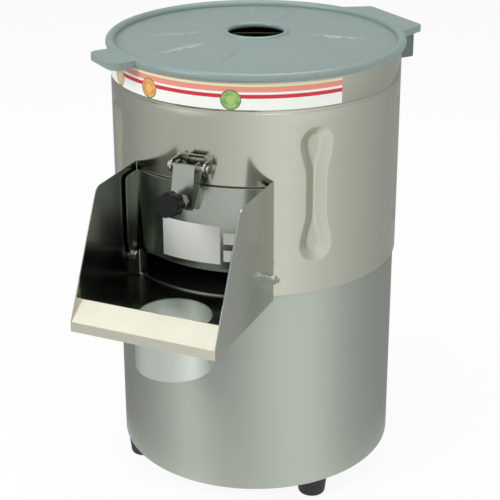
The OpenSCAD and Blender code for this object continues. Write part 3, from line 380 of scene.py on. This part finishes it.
class Finish:
    """A material with its node tree, built up step by step."""

    def __init__(self, name, base, metallic=0.0, roughness=0.5):
        self.material = bpy.data.materials.new(name)
        self.material.use_nodes = True
        self.tree = self.material.node_tree
        self.nodes = self.tree.nodes
        self.shader = self.nodes["Principled BSDF"]
        self.shader.inputs["Base Color"].default_value = (*base, 1.0)
        self.shader.inputs["Metallic"].default_value = metallic
        self.shader.inputs["Roughness"].default_value = roughness
        self.base = base
        self.coordinates = self.add("ShaderNodeTexCoord").outputs["Object"]

    def add(self, kind, **settings):
        """A new node of this kind."""
        node = self.nodes.new(kind)
        for key, value in settings.items():
            setattr(node, key, value)
        return node

    def link(self, output, target):
        """Join an output to an input."""
        self.tree.links.new(output, target)

    def mapped(self, scale, vector=None):
        """Coordinates stretched by a scale for each axis."""
        node = self.add("ShaderNodeMapping")
        node.inputs["Scale"].default_value = scale
        self.link(vector or self.coordinates, node.inputs["Vector"])
        return node.outputs["Vector"]

    def noise(self, scale, detail=3.0, vector=None, roughness=0.5):
        """A cloudy pattern."""
        node = self.add("ShaderNodeTexNoise")
        node.inputs["Scale"].default_value = scale
        node.inputs["Detail"].default_value = detail
        node.inputs["Roughness"].default_value = roughness
        self.link(vector or self.coordinates, node.inputs["Vector"])
        return node.outputs["Fac"]

    def cells(self, scale, vector=None):
        """A pattern of cells, dark in their middles."""
        node = self.add("ShaderNodeTexVoronoi")
        node.inputs["Scale"].default_value = scale
        self.link(vector or self.coordinates, node.inputs["Vector"])
        return node.outputs["Distance"]

    def math(self, operation, a, b=None):
        """Arithmetic on outputs and numbers."""
        node = self.add("ShaderNodeMath", operation=operation)
        for socket, value in zip(node.inputs, (a, b)):
            if value is None:
                continue
            if isinstance(value, (int, float)):
                socket.default_value = value
            else:
                self.link(value, socket)
        return node.outputs["Value"]

    def spread(self, factor, low, high, from_low=0.25, from_high=0.75):
        """Spreads a texture's value between two limits."""
        node = self.add("ShaderNodeMapRange")
        node.inputs["From Min"].default_value = from_low
        node.inputs["From Max"].default_value = from_high
        node.inputs["To Min"].default_value = low
        node.inputs["To Max"].default_value = high
        self.link(factor, node.inputs["Value"])
        return node.outputs["Result"]

    def mix(self, factor, a, b):
        """A blend of two colours."""
        node = self.add("ShaderNodeMix", data_type="RGBA")
        self.link(factor, node.inputs["Factor"])
        for socket, value in ((node.inputs[6], a), (node.inputs[7], b)):
            if isinstance(value, tuple):
                socket.default_value = (*value, 1.0)
            else:
                self.link(value, socket)
        return node.outputs[2]

    def tint(self, factor, dark, light):
        """Varies the base colour between two multiples of itself."""
        a = tuple(c * dark for c in self.base)
        b = tuple(min(1.0, c * light) for c in self.base)
        self.link(self.mix(factor, a, b), self.shader.inputs["Base Color"])

    def roughen(self, factor, low, high):
        """Varies the roughness between two values."""
        self.link(self.spread(factor, low, high), self.shader.inputs["Roughness"])

    def bump(self, height, strength, distance, previous=None):
        """Raises the surface by a pattern, on top of an earlier bump if there is one."""
        node = self.add("ShaderNodeBump")
        node.inputs["Strength"].default_value = strength
        node.inputs["Distance"].default_value = distance
        self.link(height, node.inputs["Height"])
        if previous is not None:
            self.link(previous, node.inputs["Normal"])
        self.link(node.outputs["Normal"], self.shader.inputs["Normal"])
        return node.outputs["Normal"]


def brushed_steel(name, base, pitch, along, roughness=(0.42, 0.5), stretch=0.8):
    """Sheet with fine brush marks along one direction, level or up and down, which draw its
    reflections out across them."""
    finish = Finish(name, base, metallic=1.0, roughness=sum(roughness) / 2)
    across = 1.0 / pitch
    level = (BRUSH_RUN, BRUSH_RUN, across)
    scale = level if along == "level" else (across, across, BRUSH_RUN)
    marks = finish.noise(scale=1.0, detail=2.0, vector=finish.mapped(scale))
    clouds = finish.noise(scale=9.0, detail=3.0)
    finish.tint(marks, dark=0.94, light=1.05)
    finish.roughen(clouds, *roughness)
    finish.bump(marks, strength=0.06, distance=0.03 * MM)
    finish.shader.inputs["Anisotropic"].default_value = stretch
    finish.shader.inputs["Anisotropic Rotation"].default_value = BRUSH_TURN
    return finish.material


def times(tone, share):
    """A colour made darker or lighter."""
    return tuple(c * share for c in tone)


def chute_steel(name, base, pitch):
    """Fine brushed sheet with painted shade inside the chute, dark and cloudy, and a painted
    highlight on its lip.
    """
    finish = Finish(name, base, metallic=1.0, roughness=0.2)
    stretched = finish.mapped((BRUSH_RUN, BRUSH_RUN, 1.0 / pitch))
    marks = finish.noise(scale=1.0, detail=2.0, vector=stretched)
    clouds = finish.noise(scale=14.0, detail=4.0)
    split = finish.add("ShaderNodeSeparateXYZ")
    finish.link(finish.coordinates, split.inputs["Vector"])
    x, y, z = split.outputs
    between = finish.math("LESS_THAN", finish.math("ABSOLUTE", x), CHUTE_HIGH.x - CHUTE_SKIN)
    behind = finish.math("GREATER_THAN", y, CHUTE_LOW.y + LIP_DEPTH)
    above = finish.math("GREATER_THAN", z, CHUTE_LOW.z + CHUTE_SKIN)
    inside = finish.math("MULTIPLY", between, finish.math("MULTIPLY", behind, above))
    # Painted highlight: the front lip of the chute is given a brighter, warmer tone
    lip = finish.math("MULTIPLY", between, finish.math("SUBTRACT", 1.0, behind))
    toned = finish.mix(marks, times(base, 0.95), times(base, 1.05))
    # Painted shade: the chute's inside is darkened to a cloudy share of the sheet's colour
    stained = finish.mix(clouds, times(base, PAINTED_SHADE_DARK), times(base, PAINTED_SHADE_LIGHT))
    toned = finish.mix(lip, toned, LIP_HIGHLIGHT_TONE)
    finish.link(finish.mix(inside, toned, stained), finish.shader.inputs["Base Color"])
    finish.roughen(clouds, low=0.17, high=0.25)
    finish.bump(marks, strength=0.06, distance=0.03 * MM)
    finish.shader.inputs["Anisotropic"].default_value = 0.3
    finish.shader.inputs["Anisotropic Rotation"].default_value = BRUSH_TURN
    return finish.material


def polished_steel(name, base):
    """Bright sheet that still shows how it was rolled: slow waves and faint level streaks."""
    finish = Finish(name, base, metallic=1.0, roughness=0.2)
    waves = finish.noise(scale=5.0, detail=1.0, vector=finish.mapped((1.0, 1.0, 0.35)))
    streaks = finish.noise(scale=1.0, detail=2.0, vector=finish.mapped((5.0, 5.0, 420.0)))
    finish.tint(streaks, dark=0.98, light=1.02)
    finish.roughen(finish.noise(scale=6.0, detail=4.0), low=0.11, high=0.17)
    slow = finish.bump(waves, strength=0.05, distance=1.0 * MM)
    finish.bump(streaks, strength=0.04, distance=0.02 * MM, previous=slow)
    return finish.material


def turned_steel(name, base):
    """Plated or turned steel with small bright and dull spots."""
    finish = Finish(name, base, metallic=1.0, roughness=0.3)
    spots = finish.noise(scale=160.0, detail=4.0)
    finish.tint(spots, dark=0.82, light=1.08)
    finish.roughen(spots, low=0.22, high=0.42)
    finish.bump(finish.noise(scale=900.0, detail=2.0), strength=0.08, distance=0.05 * MM)
    return finish.material


def moulded_plastic(name, base, roughness, grain=0.10, coat=0.0, gloss=0.5):
    """Plastic with a fine moulded grain and a slightly uneven sheen."""
    finish = Finish(name, base, roughness=roughness)
    clouds = finish.noise(scale=14.0, detail=4.0)
    finish.tint(clouds, dark=0.96, light=1.04)
    finish.roughen(clouds, low=roughness - 0.02, high=roughness + 0.03)
    if grain > 0.0:
        finish.bump(finish.noise(scale=700.0, detail=2.0), strength=grain, distance=0.06 * MM)
    finish.shader.inputs["Coat Weight"].default_value = coat
    finish.shader.inputs["Coat Roughness"].default_value = 0.15
    finish.shader.inputs["Specular IOR Level"].default_value = gloss
    return finish.material


def rubber(name, base):
    """Matt rubber with dust in its grain."""
    finish = Finish(name, base, roughness=0.6)
    dust = finish.noise(scale=120.0, detail=5.0)
    finish.tint(dust, dark=0.8, light=1.9)
    finish.roughen(dust, low=0.5, high=0.75)
    finish.bump(finish.noise(scale=1200.0, detail=2.0), strength=0.15, distance=0.08 * MM)
    return finish.material


def cast_metal(name, base, metallic=1.0):
    """Cast metal, pitted and uneven."""
    finish = Finish(name, base, metallic=metallic, roughness=0.5)
    pits = finish.noise(scale=500.0, detail=4.0)
    finish.tint(finish.noise(scale=40.0, detail=3.0), dark=0.8, light=1.1)
    finish.roughen(pits, low=0.4, high=0.65)
    finish.bump(pits, strength=0.35, distance=0.2 * MM)
    return finish.material


def grit_layer(name, base):
    """Sharp grains bonded in resin, with a few light ones."""
    finish = Finish(name, base, roughness=0.8)
    grains = finish.cells(scale=900.0)
    light = finish.math("GREATER_THAN", finish.noise(scale=1400.0, detail=1.0), 0.66)
    finish.link(
        finish.mix(light, tuple(finish.base), (0.34, 0.32, 0.30)),
        finish.shader.inputs["Base Color"],
    )
    finish.roughen(grains, low=0.6, high=0.95)
    finish.bump(grains, strength=0.9, distance=0.7 * MM)
    return finish.material


def winding(name):
    """Varnished copper strands over dark laminations."""
    finish = Finish(name, (0.42, 0.17, 0.06), metallic=0.6, roughness=0.35)
    strands = finish.noise(scale=1.0, detail=1.0, vector=finish.mapped((20.0, 20.0, 1400.0)))
    finish.link(
        finish.mix(strands, (0.30, 0.10, 0.03), (0.58, 0.27, 0.10)),
        finish.shader.inputs["Base Color"],
    )
    finish.roughen(strands, low=0.25, high=0.5)
    finish.bump(strands, strength=0.5, distance=0.3 * MM)
    return finish.material


def film(name, base):
    """Bare printed film: even, faintly glossy, with a soft fibre."""
    finish = Finish(name, base, roughness=0.32)
    finish.tint(finish.noise(scale=200.0, detail=3.0), dark=0.985, light=1.01)
    finish.roughen(finish.noise(scale=90.0, detail=3.0), low=0.26, high=0.4)
    finish.bump(finish.noise(scale=500.0, detail=2.0), strength=0.04, distance=0.03 * MM)
    return finish.material


def striped_band(name, colours, motif_radius):
    """White film with level stripes under its upper edge and a row of round motifs."""
    finish = Finish(name, tuple(colours.paper), roughness=0.3)
    split = finish.add("ShaderNodeSeparateXYZ")
    finish.link(finish.coordinates, split.inputs["Vector"])
    x, y, z = split.outputs
    below_top = finish.math("SUBTRACT", BAND_TOP, z)
    painted = tuple(colours.paper)
    for edge, tone in STRIPES:
        inside = finish.math("LESS_THAN", below_top, edge)
        painted = finish.mix(inside, painted, tuple(getattr(colours, tone)))
    turn = finish.math("ARCTAN2", x, finish.math("MULTIPLY", y, -1.0))
    around = finish.math("MULTIPLY", turn, DRUM_RADIUS)
    speckle = finish.noise(scale=170.0, detail=3.0)
    for degrees, dark, light in MOTIFS:
        centre = math.radians(degrees) * DRUM_RADIUS
        across = finish.math("SUBTRACT", around, centre)
        up = finish.math("SUBTRACT", z, BAND_TOP - MOTIF_DROP)
        across_squared = finish.math("MULTIPLY", across, across)
        up_squared = finish.math("MULTIPLY", up, up)
        reach = finish.math("SQRT", finish.math("ADD", across_squared, up_squared))
        speckled = finish.mix(finish.spread(speckle, 0.0, 1.0), dark, light)
        for radius, tone in (
            (motif_radius, MOTIF_RIM_TONE),
            (motif_radius - MOTIF_RIM, speckled),
            (motif_radius * MOTIF_CORE, light),
        ):
            painted = finish.mix(finish.math("LESS_THAN", reach, radius), painted, tone)
    finish.link(painted, finish.shader.inputs["Base Color"])
    finish.roughen(finish.noise(scale=90.0, detail=3.0), low=0.26, high=0.38)
    return finish.material


MATERIALS = {}


def material(key):
    """A mixed finish by its key."""
    if key not in MATERIALS:
        raise RuntimeError(f"the finish {key} hasn't been mixed")
    return MATERIALS[key]


def mix_materials():
    """Mix every finish from the scene's own sizes and colours."""
    sizes = bpy.context.scene.peeler_sizes
    colours = bpy.context.scene.peeler_colours
    pitch = sizes.brush_pitch
    sheet, black = tuple(colours.sheet), tuple(colours.black)
    MATERIALS.update(
        sheet=brushed_steel("Brushed sheet", sheet, pitch, "level"),
        upright=brushed_steel(
            "Upright brushed sheet", tuple(colours.tube), pitch, "upright",
            roughness=(0.25, 0.33), stretch=0.3,
        ),
        bent=brushed_steel(
            "Fine brushed sheet", sheet, pitch, "level", roughness=(0.17, 0.24), stretch=0.3,
        ),
        chute=chute_steel("Chute sheet", sheet, pitch),
        # Near-black sheet for the floor pan: painted shade
        stained=brushed_steel(
            "Stained sheet", (0.09, 0.095, 0.09), pitch, "level",
            roughness=(0.5, 0.6), stretch=0.0,
        ),
        drum=polished_steel("Polished drum", tuple(colours.mirror_sheet)),
        zinc=turned_steel("Plated steel", tuple(colours.zinc)),
        lid=moulded_plastic("Lid plastic", tuple(colours.lid), roughness=0.28, grain=0.0),
        housing=moulded_plastic("Housing plastic", tuple(colours.housing), roughness=0.5),
        black=moulded_plastic("Black plastic", black, roughness=0.42, gloss=0.2),
        rubber=rubber("Black rubber", black),
        seal=rubber("Grey rubber", (0.05, 0.05, 0.05)),
        film=film("Bare film", tuple(colours.paper)),
        band=striped_band("Striped band", colours, sizes.motif_radius),
        cast=cast_metal("Painted casting", (0.12, 0.13, 0.14), metallic=0.3),
        alloy=cast_metal("Cast alloy", (0.50, 0.51, 0.52)),
        winding=winding("Varnished winding"),
        magnet=cast_metal("Magnet", (0.10, 0.10, 0.11)),
        sensor=moulded_plastic("Sensor moulding", (0.55, 0.38, 0.07), roughness=0.4),
        grit=grit_layer("Abrasive grit", tuple(colours.grit)),
        green=moulded_plastic("Green button", (0.02, 0.22, 0.07), roughness=0.3, coat=0.3),
        stop=moulded_plastic("Red button", (0.52, 0.02, 0.02), roughness=0.3, coat=0.3),
    )


# The finish for each material slot of the record
SLOT_FINISHES = {
    "brushed_sheet": "sheet",
    "polished_sheet": "drum",
    "zinc_steel": "zinc",
    "lid_plastic": "lid",
    "housing_plastic": "housing",
    "black_plastic": "black",
    "black_rubber": "rubber",
    "grey_rubber": "seal",
    "label_film": "film",
    "cast_alloy": "cast",
    "alloy": "alloy",
    "copper_pack": "winding",
    "magnet_black": "magnet",
    "sensor_plastic": "sensor",
    "grit": "grit",
    "start_green": "green",
    "stop_red": "stop",
}


# Operators: one for each piece or group of like pieces


class PEELER_OT_finishes(bpy.types.Operator):
    """Mix every finish and put it on the frame's own pieces"""

    bl_idname = "peeler.finishes"
    bl_label = "Mix Finishes"

    def execute(self, context):
        mix_materials()
        for node, piece in frame["nodes"].items():
            set_material(piece, material(SLOT_FINISHES[slot_of(node)]))
        set_material(frame["nodes"]["label_band"], material("band"))
        # Painted shade: the floor pan gets near-black sheet instead of its brushed finish
        set_material(frame["nodes"]["floor_pan"], material("stained"))
        return {"FINISHED"}


class PEELER_OT_sheet_pieces(bpy.types.Operator):
    """Round the cut and bent edges of the sheet-metal pieces"""

    bl_idname = "peeler.sheet_pieces"
    bl_label = "Sheet Pieces"

    def execute(self, context):
        edge = context.scene.peeler_sizes.sheet_edge
        for node, name, finish in (
            ("chute_tray", "bent_chute", "chute"),
            ("door_plate", "bent_door", "bent"),
            ("clamp_strap", "bent_strap", "bent"),
            ("strap_lugs", "welded_bracket", "drum"),
            ("door_catch", "ground_catch", "zinc"),
            ("drop_tube", "rolled_tube", "upright"),
        ):
            softened(node, name, edge, material(finish))
        return {"FINISHED"}


class PEELER_OT_drum(bpy.types.Operator):
    """Roll the drum's sheet, press its dents and groove, and cut its front opening"""

    bl_idname = "peeler.drum"
    bl_label = "Pressed Drum"

    def execute(self, context):
        dents = context.scene.peeler_dents
        drum = rolled_sheet(dents)
        press(drum, "Dents", dents.depth, lambda place: dent_share(place, dents))
        press(drum, "Groove", dents.groove_depth, lambda place: groove_share(place, dents))
        sheet = drum.modifiers.new("Sheet", "SOLIDIFY")
        sheet.thickness = dents.sheet
        sheet.offset = -1.0
        apply_modifiers(drum)
        cut_opening(drum, dents)
        smooth(drum, DRUM_SMOOTH_DEGREES)
        set_material(drum, material("drum"))
        name_piece(drum, "pressed_drum", body_of("drum_shell"))
        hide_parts("drum_shell")
        return {"FINISHED"}


def dent_angles(dents):
    """Angles of the dents round the drum, evenly spread behind the chute."""
    step = (2 * math.pi - 2 * dents.first) / max(1, dents.count - 1)
    return [dents.first + i * step for i in range(dents.count)]


def nearest_turn(angle, centre):
    """The shorter way round from a centre to an angle."""
    return (angle - centre + math.pi) % (2 * math.pi) - math.pi


def rolled_sheet(dents):
    """The drum's sheet as a round wall, with close columns and rows where it is pressed."""
    height = DRUM_HIGH.z - DRUM_LOW.z
    deselect_all()
    bpy.ops.mesh.primitive_cylinder_add(
        vertices=COARSE_COLUMNS, radius=DRUM_RADIUS, depth=height, end_fill_type="NOTHING",
        location=(0.0, 0.0, DRUM_LOW.z + height / 2),
    )
    drum = bpy.context.object
    apply_place(drum)
    centres = dent_angles(dents)
    reach = math.asin((dents.end_half + FINE_MARGIN) / DRUM_RADIUS)
    bpy.ops.object.mode_set(mode="EDIT")
    bpy.ops.mesh.select_all(action="DESELECT")
    bpy.ops.object.mode_set(mode="OBJECT")
    points = drum.data.vertices
    for edge in drum.data.edges:
        a, b = (points[i].co for i in edge.vertices)
        middle = (a + b) / 2
        turn = math.atan2(middle.x, -middle.y)
        level = abs(a.z - b.z) < 1.0 * MM
        edge.select = level and any(abs(nearest_turn(turn, c)) < reach for c in centres)
    bpy.ops.object.mode_set(mode="EDIT")
    bpy.ops.mesh.select_mode(type="EDGE")
    bpy.ops.mesh.subdivide(number_cuts=FINE_CUTS)
    for level in sheet_rows(dents):
        bpy.ops.mesh.select_all(action="SELECT")
        bpy.ops.mesh.bisect(plane_co=(0.0, 0.0, level), plane_no=(0.0, 0.0, 1.0))
    bpy.ops.object.mode_set(mode="OBJECT")
    cast = drum.modifiers.new("Round", "CAST")
    cast.cast_type = "CYLINDER"
    cast.use_z = False
    cast.factor = 1.0
    cast.use_radius_as_size = False
    cast.size = DRUM_RADIUS
    apply_modifiers(drum)
    return drum


def sheet_rows(dents):
    """Heights of the sheet's rows: close at the groove and over the dents."""
    groove = DRUM_HIGH.z - dents.groove_drop
    rows = [groove + share * dents.groove_width for share in GROOVE_ROWS]
    low = dents.middle - dents.height / 2 - ROW_MARGIN
    high = dents.middle + dents.height / 2 + ROW_MARGIN
    z = low
    while z < high:
        rows.append(z)
        near_end = min(z - low, high - z) < END_REACH * dents.end_half
        z += ROW_STEP if near_end else WIDE_ROW_STEP
    rows.append(high)
    return sorted(rows)


def press(drum, name, depth, share):
    """Push the sheet inwards by the share of the depth that each point gets."""
    group = drum.vertex_groups.new(name=name)
    for point in drum.data.vertices:
        weight = share(point.co)
        if weight > LEAST_SHARE:
            group.add([point.index], min(1.0, weight), "REPLACE")
    push = drum.modifiers.new(name, "DISPLACE")
    push.vertex_group = name
    push.direction = "NORMAL"
    push.mid_level = 0.0
    push.strength = -depth
    apply_modifiers(drum)
    drum.vertex_groups.clear()


def eased(value):
    """A smooth step from 0 to 1."""
    value = max(0.0, min(1.0, value))
    return value * value * (3.0 - 2.0 * value)


def dent_share(place, dents):
    """How much of a dent's depth a point gets: two flanks that fall to a line, inside a bone's
    outline."""
    half = dents.height / 2
    up = abs(place.z - dents.middle)
    if up >= half:
        return 0.0
    turn = math.atan2(place.x, -place.y)
    nearest = min(abs(nearest_turn(turn, c)) for c in dent_angles(dents))
    across = nearest * DRUM_RADIUS
    cap = half - dents.end_half
    if up > cap:
        inside = dents.end_half - math.hypot(across, up - cap)
    else:
        flare = eased((up / cap - FLARE_START) / (1.0 - FLARE_START))
        width = dents.waist_half + (dents.end_half - dents.waist_half) * flare
        inside = width - across
    if inside <= 0.0:
        return 0.0
    fall = inside * dents.flank / dents.depth * eased(inside / DENT_BEND)
    if fall > VALLEY:
        rest = 1.0 - VALLEY
        fall = VALLEY + rest * (1.0 - math.exp((VALLEY - fall) / rest))
    return fall


def groove_share(place, dents):
    """How much of the groove's depth a point gets."""
    away = abs(place.z - (DRUM_HIGH.z - dents.groove_drop)) / dents.groove_width
    return eased((0.5 - away) / GROOVE_SIDE)


def cut_opening(drum, dents):
    """Cut the front opening through the sheet, down to its lower edge."""
    bottom = DRUM_LOW.z - CUTTER_BELOW
    middle = (bottom + dents.opening_top) / 2
    deselect_all()
    bpy.ops.mesh.primitive_cube_add(size=1.0, location=(0.0, -DRUM_RADIUS, middle))
    cutter = bpy.context.object
    cutter.scale = (2 * dents.opening_half, DRUM_RADIUS, dents.opening_top - bottom)
    apply_place(cutter)
    cut = drum.modifiers.new("Front opening", "BOOLEAN")
    cut.operation = "DIFFERENCE"
    cut.solver = "EXACT"
    cut.object = cutter
    apply_modifiers(drum)
    deselect_all()
    cutter.select_set(True)
    bpy.ops.object.delete()


class PEELER_OT_fasteners(bpy.types.Operator):
    """Chamfer the bolts, nuts and pins that show"""

    bl_idname = "peeler.fasteners"
    bl_label = "Fasteners"

    def execute(self, context):
        edge = context.scene.peeler_sizes.bolt_edge
        for node, name in (
            ("hinge_bolts", "chamfered_hinge_bolts"),
            ("hinge_nuts", "chamfered_hinge_nuts"),
            ("strap_pin", "riveted_pin"),
            ("clamp_nut", "chamfered_clamp_nut"),
            ("clamp_screw", "rounded_clamp_screw"),
            ("lap_screws", "rounded_lap_screws"),
        ):
            softened(node, name, edge, material("zinc"))
        return {"FINISHED"}


class PEELER_OT_mouldings(bpy.types.Operator):
    """Round the edges of the moulded pieces"""

    bl_idname = "peeler.mouldings"
    bl_label = "Mouldings"

    def execute(self, context):
        edge = context.scene.peeler_sizes.casting_edge
        for node, name, finish, width in (
            ("clamp_knob", "moulded_knob", "black", 1.2 * MM),
            ("rubber_feet", "moulded_feet", "rubber", 1.5 * MM),
            ("interlock_housing", "moulded_interlock", "housing", edge),
            ("switch_box", "moulded_switch_box", "housing", edge),
            ("lid", "moulded_lid", "lid", edge),
            ("start_button", "moulded_start_button", "green", edge),
            ("stop_button", "moulded_stop_button", "stop", edge),
            ("cable_gland", "moulded_gland", "black", 0.5 * MM),
        ):
            softened(node, name, width, material(finish), segments=3)
        return {"FINISHED"}


class PEELER_OT_stage(bpy.types.Operator):
    """Set the floor, the lights and the camera"""

    bl_idname = "peeler.stage"
    bl_label = "Stage"

    def execute(self, context):
        lay_floor()
        stand_cards()
        hang_lights()
        set_camera(context.scene)
        return {"FINISHED"}


def seen_rays(tree):
    """1 for the rays that see the white backdrop: from the camera, mirrored or let through."""
    paths = tree.nodes.new("ShaderNodeLightPath")
    total = paths.outputs["Is Camera Ray"]
    for kind in ("Is Glossy Ray", "Is Transmission Ray"):
        adder = tree.nodes.new("ShaderNodeMath")
        adder.operation = "ADD"
        adder.use_clamp = True
        tree.links.new(total, adder.inputs[0])
        tree.links.new(paths.outputs[kind], adder.inputs[1])
        total = adder.outputs["Value"]
    return total


def lay_floor():
    """A plain pale floor that is all but white where the camera sees it."""
    tone = tuple(bpy.context.scene.peeler_colours.floor)
    deselect_all()
    bpy.ops.mesh.primitive_plane_add(size=FLOOR_SIZE, location=(0.0, 0.0, 0.0))
    floor = bpy.context.object
    floor.name = "studio_floor"
    finish = Finish("Studio floor", tone, roughness=0.9)
    mixer = finish.add("ShaderNodeMixShader")
    glow = finish.add("ShaderNodeEmission")
    glow.inputs["Strength"].default_value = 1.0
    veil = finish.math("MULTIPLY", seen_rays(finish.tree), FLOOR_VEIL)
    finish.link(veil, mixer.inputs["Fac"])
    finish.link(finish.shader.outputs["BSDF"], mixer.inputs[1])
    finish.link(glow.outputs["Emission"], mixer.inputs[2])
    finish.link(mixer.outputs["Shader"], finish.nodes["Material Output"].inputs["Surface"])
    set_material(floor, finish.material)


def stand_cards():
    """A ring of grey and white cards that only the metal's reflections show."""
    deselect_all()
    bpy.ops.mesh.primitive_cylinder_add(
        vertices=CARD_STEPS, radius=CARD_REACH, depth=CARD_HEIGHT, end_fill_type="NOTHING",
        location=(0.0, 0.0, CARD_HEIGHT / 2),
    )
    ring = bpy.context.object
    bpy.ops.mesh.primitive_cone_add(
        vertices=CARD_STEPS, radius1=CARD_REACH, radius2=CARD_APRON, depth=APRON_RISE,
        end_fill_type="NOTHING", location=(0.0, 0.0, APRON_RISE),
    )
    ring.select_set(True)
    bpy.context.view_layer.objects.active = ring
    bpy.ops.object.join()
    ring.name = "studio_cards"
    apply_place(ring)
    finish = Finish("Studio cards", (0.5, 0.5, 0.5), roughness=1.0)
    split = finish.add("ShaderNodeSeparateXYZ")
    finish.link(finish.coordinates, split.inputs["Vector"])
    x, y, _ = split.outputs
    turn = finish.math("ARCTAN2", x, finish.math("MULTIPLY", y, -1.0))
    place = finish.spread(turn, 0.0, 1.0, -math.pi, math.pi)
    ramp = finish.add("ShaderNodeValToRGB")
    ramp.color_ramp.interpolation = "B_SPLINE"
    stops = ramp.color_ramp.elements
    stops.remove(stops[-1])
    stops[0].position = 0.0
    for degrees, _ in CARD_LEVELS[1:]:
        stops.new((degrees + 180.0) / 360.0)
    for stop, (degrees, level) in zip(stops, CARD_LEVELS):
        stop.color = (level, level, level, 1.0)
    finish.link(place, ramp.inputs["Fac"])
    glow = finish.add("ShaderNodeEmission")
    finish.link(ramp.outputs["Color"], glow.inputs["Color"])
    finish.link(glow.outputs["Emission"], finish.nodes["Material Output"].inputs["Surface"])
    set_material(ring, finish.material)
    ring.visible_camera = False
    ring.visible_diffuse = False
    ring.visible_shadow = False
    ring.visible_transmission = False


def soft_box(name, place, width, height, power):
    """A rectangular light at a place, turned to the part."""
    light = bpy.data.lights.new(name, "AREA")
    light.shape = "RECTANGLE"
    light.size = width
    light.size_y = height
    light.energy = power
    lamp = bpy.data.objects.new(name, light)
    bpy.context.scene.collection.objects.link(lamp)
    lamp.location = place
    aim = Vector(LIGHTS_AIM) - Vector(place)
    lamp.rotation_euler = aim.to_track_quat("-Z", "Y").to_euler()


def hang_lights():
    """The soft boxes, the room's light and the white paper behind."""
    for box in SOFT_BOXES:
        soft_box(*box)
    world = bpy.data.worlds.new("Studio")
    bpy.context.scene.world = world
    world.use_nodes = True
    tree = world.node_tree
    tree.nodes.clear()
    output = tree.nodes.new("ShaderNodeOutputWorld")
    mixer = tree.nodes.new("ShaderNodeMixShader")
    tree.links.new(seen_rays(tree), mixer.inputs["Fac"])
    for slot, tone, strength in (
        (1, ROOM_TONE, ROOM_STRENGTH),
        (2, PAPER_TONE, PAPER_STRENGTH),
    ):
        background = tree.nodes.new("ShaderNodeBackground")
        background.inputs["Color"].default_value = tone
        background.inputs["Strength"].default_value = strength
        tree.links.new(background.outputs["Background"], mixer.inputs[slot])
    tree.links.new(mixer.outputs["Shader"], output.inputs["Surface"])


def set_camera(scene):
    """Stand the camera to the right of the chute and look down at the part."""
    stage = scene.peeler_stage
    camera = bpy.data.cameras.new("Camera")
    camera.sensor_width = SENSOR_WIDTH
    camera.lens = stage.lens
    camera.shift_x = SHIFT_X
    camera.shift_y = SHIFT_Y
    holder = bpy.data.objects.new("Camera", camera)
    scene.collection.objects.link(holder)
    around, away = stage.camera_azimuth, stage.camera_distance
    holder.location = (math.sin(around) * away, -math.cos(around) * away, stage.camera_height)
    holder.rotation_euler = (math.pi / 2 - stage.camera_pitch, 0.0, around)
    scene.camera = holder
    scene.view_settings.view_transform = "Standard"


class PEELER_PT_panel(bpy.types.Panel):
    """Lists the peeler's sizes, colours and steps"""

    bl_idname = "PEELER_PT_panel"
    bl_label = "Peeler"
    bl_space_type = "VIEW_3D"
    bl_region_type = "UI"
    bl_category = "Peeler"

    def draw(self, context):
        layout = self.layout
        for group in (
            context.scene.peeler_sizes,
            context.scene.peeler_dents,
            context.scene.peeler_colours,
            context.scene.peeler_stage,
        ):
            column = layout.column(align=True)
            for key in group.__annotations__:
                column.prop(group, key)
        steps = layout.column(align=True)
        for operator in STEPS:
            steps.operator(operator.bl_idname)


GROUPS = (PeelerSizes, PeelerDents, PeelerColours, PeelerStage)
STEPS = (
    PEELER_OT_finishes,
    PEELER_OT_sheet_pieces,
    PEELER_OT_drum,
    PEELER_OT_fasteners,
    PEELER_OT_mouldings,
    PEELER_OT_stage,
)
CLASSES = GROUPS + STEPS + (PEELER_PT_panel,)


def register():
    """Register the classes and hang their properties on the scene."""
    for cls in CLASSES:
        bpy.utils.register_class(cls)
    bpy.types.Scene.peeler_sizes = PointerProperty(type=PeelerSizes)
    bpy.types.Scene.peeler_dents = PointerProperty(type=PeelerDents)
    bpy.types.Scene.peeler_colours = PointerProperty(type=PeelerColours)
    bpy.types.Scene.peeler_stage = PointerProperty(type=PeelerStage)


def unregister():
    """Take the properties and the classes away again."""
    del bpy.types.Scene.peeler_stage
    del bpy.types.Scene.peeler_colours
    del bpy.types.Scene.peeler_dents
    del bpy.types.Scene.peeler_sizes
    for cls in reversed(CLASSES):
        bpy.utils.unregister_class(cls)


def main():
    """Dress the frame from start to end."""
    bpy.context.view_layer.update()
    register()
    bpy.ops.peeler.finishes()
    bpy.ops.peeler.sheet_pieces()
    bpy.ops.peeler.drum()
    bpy.ops.peeler.fasteners()
    bpy.ops.peeler.mouldings()
    bpy.ops.peeler.stage()


if __name__ == "__main__":
    main()
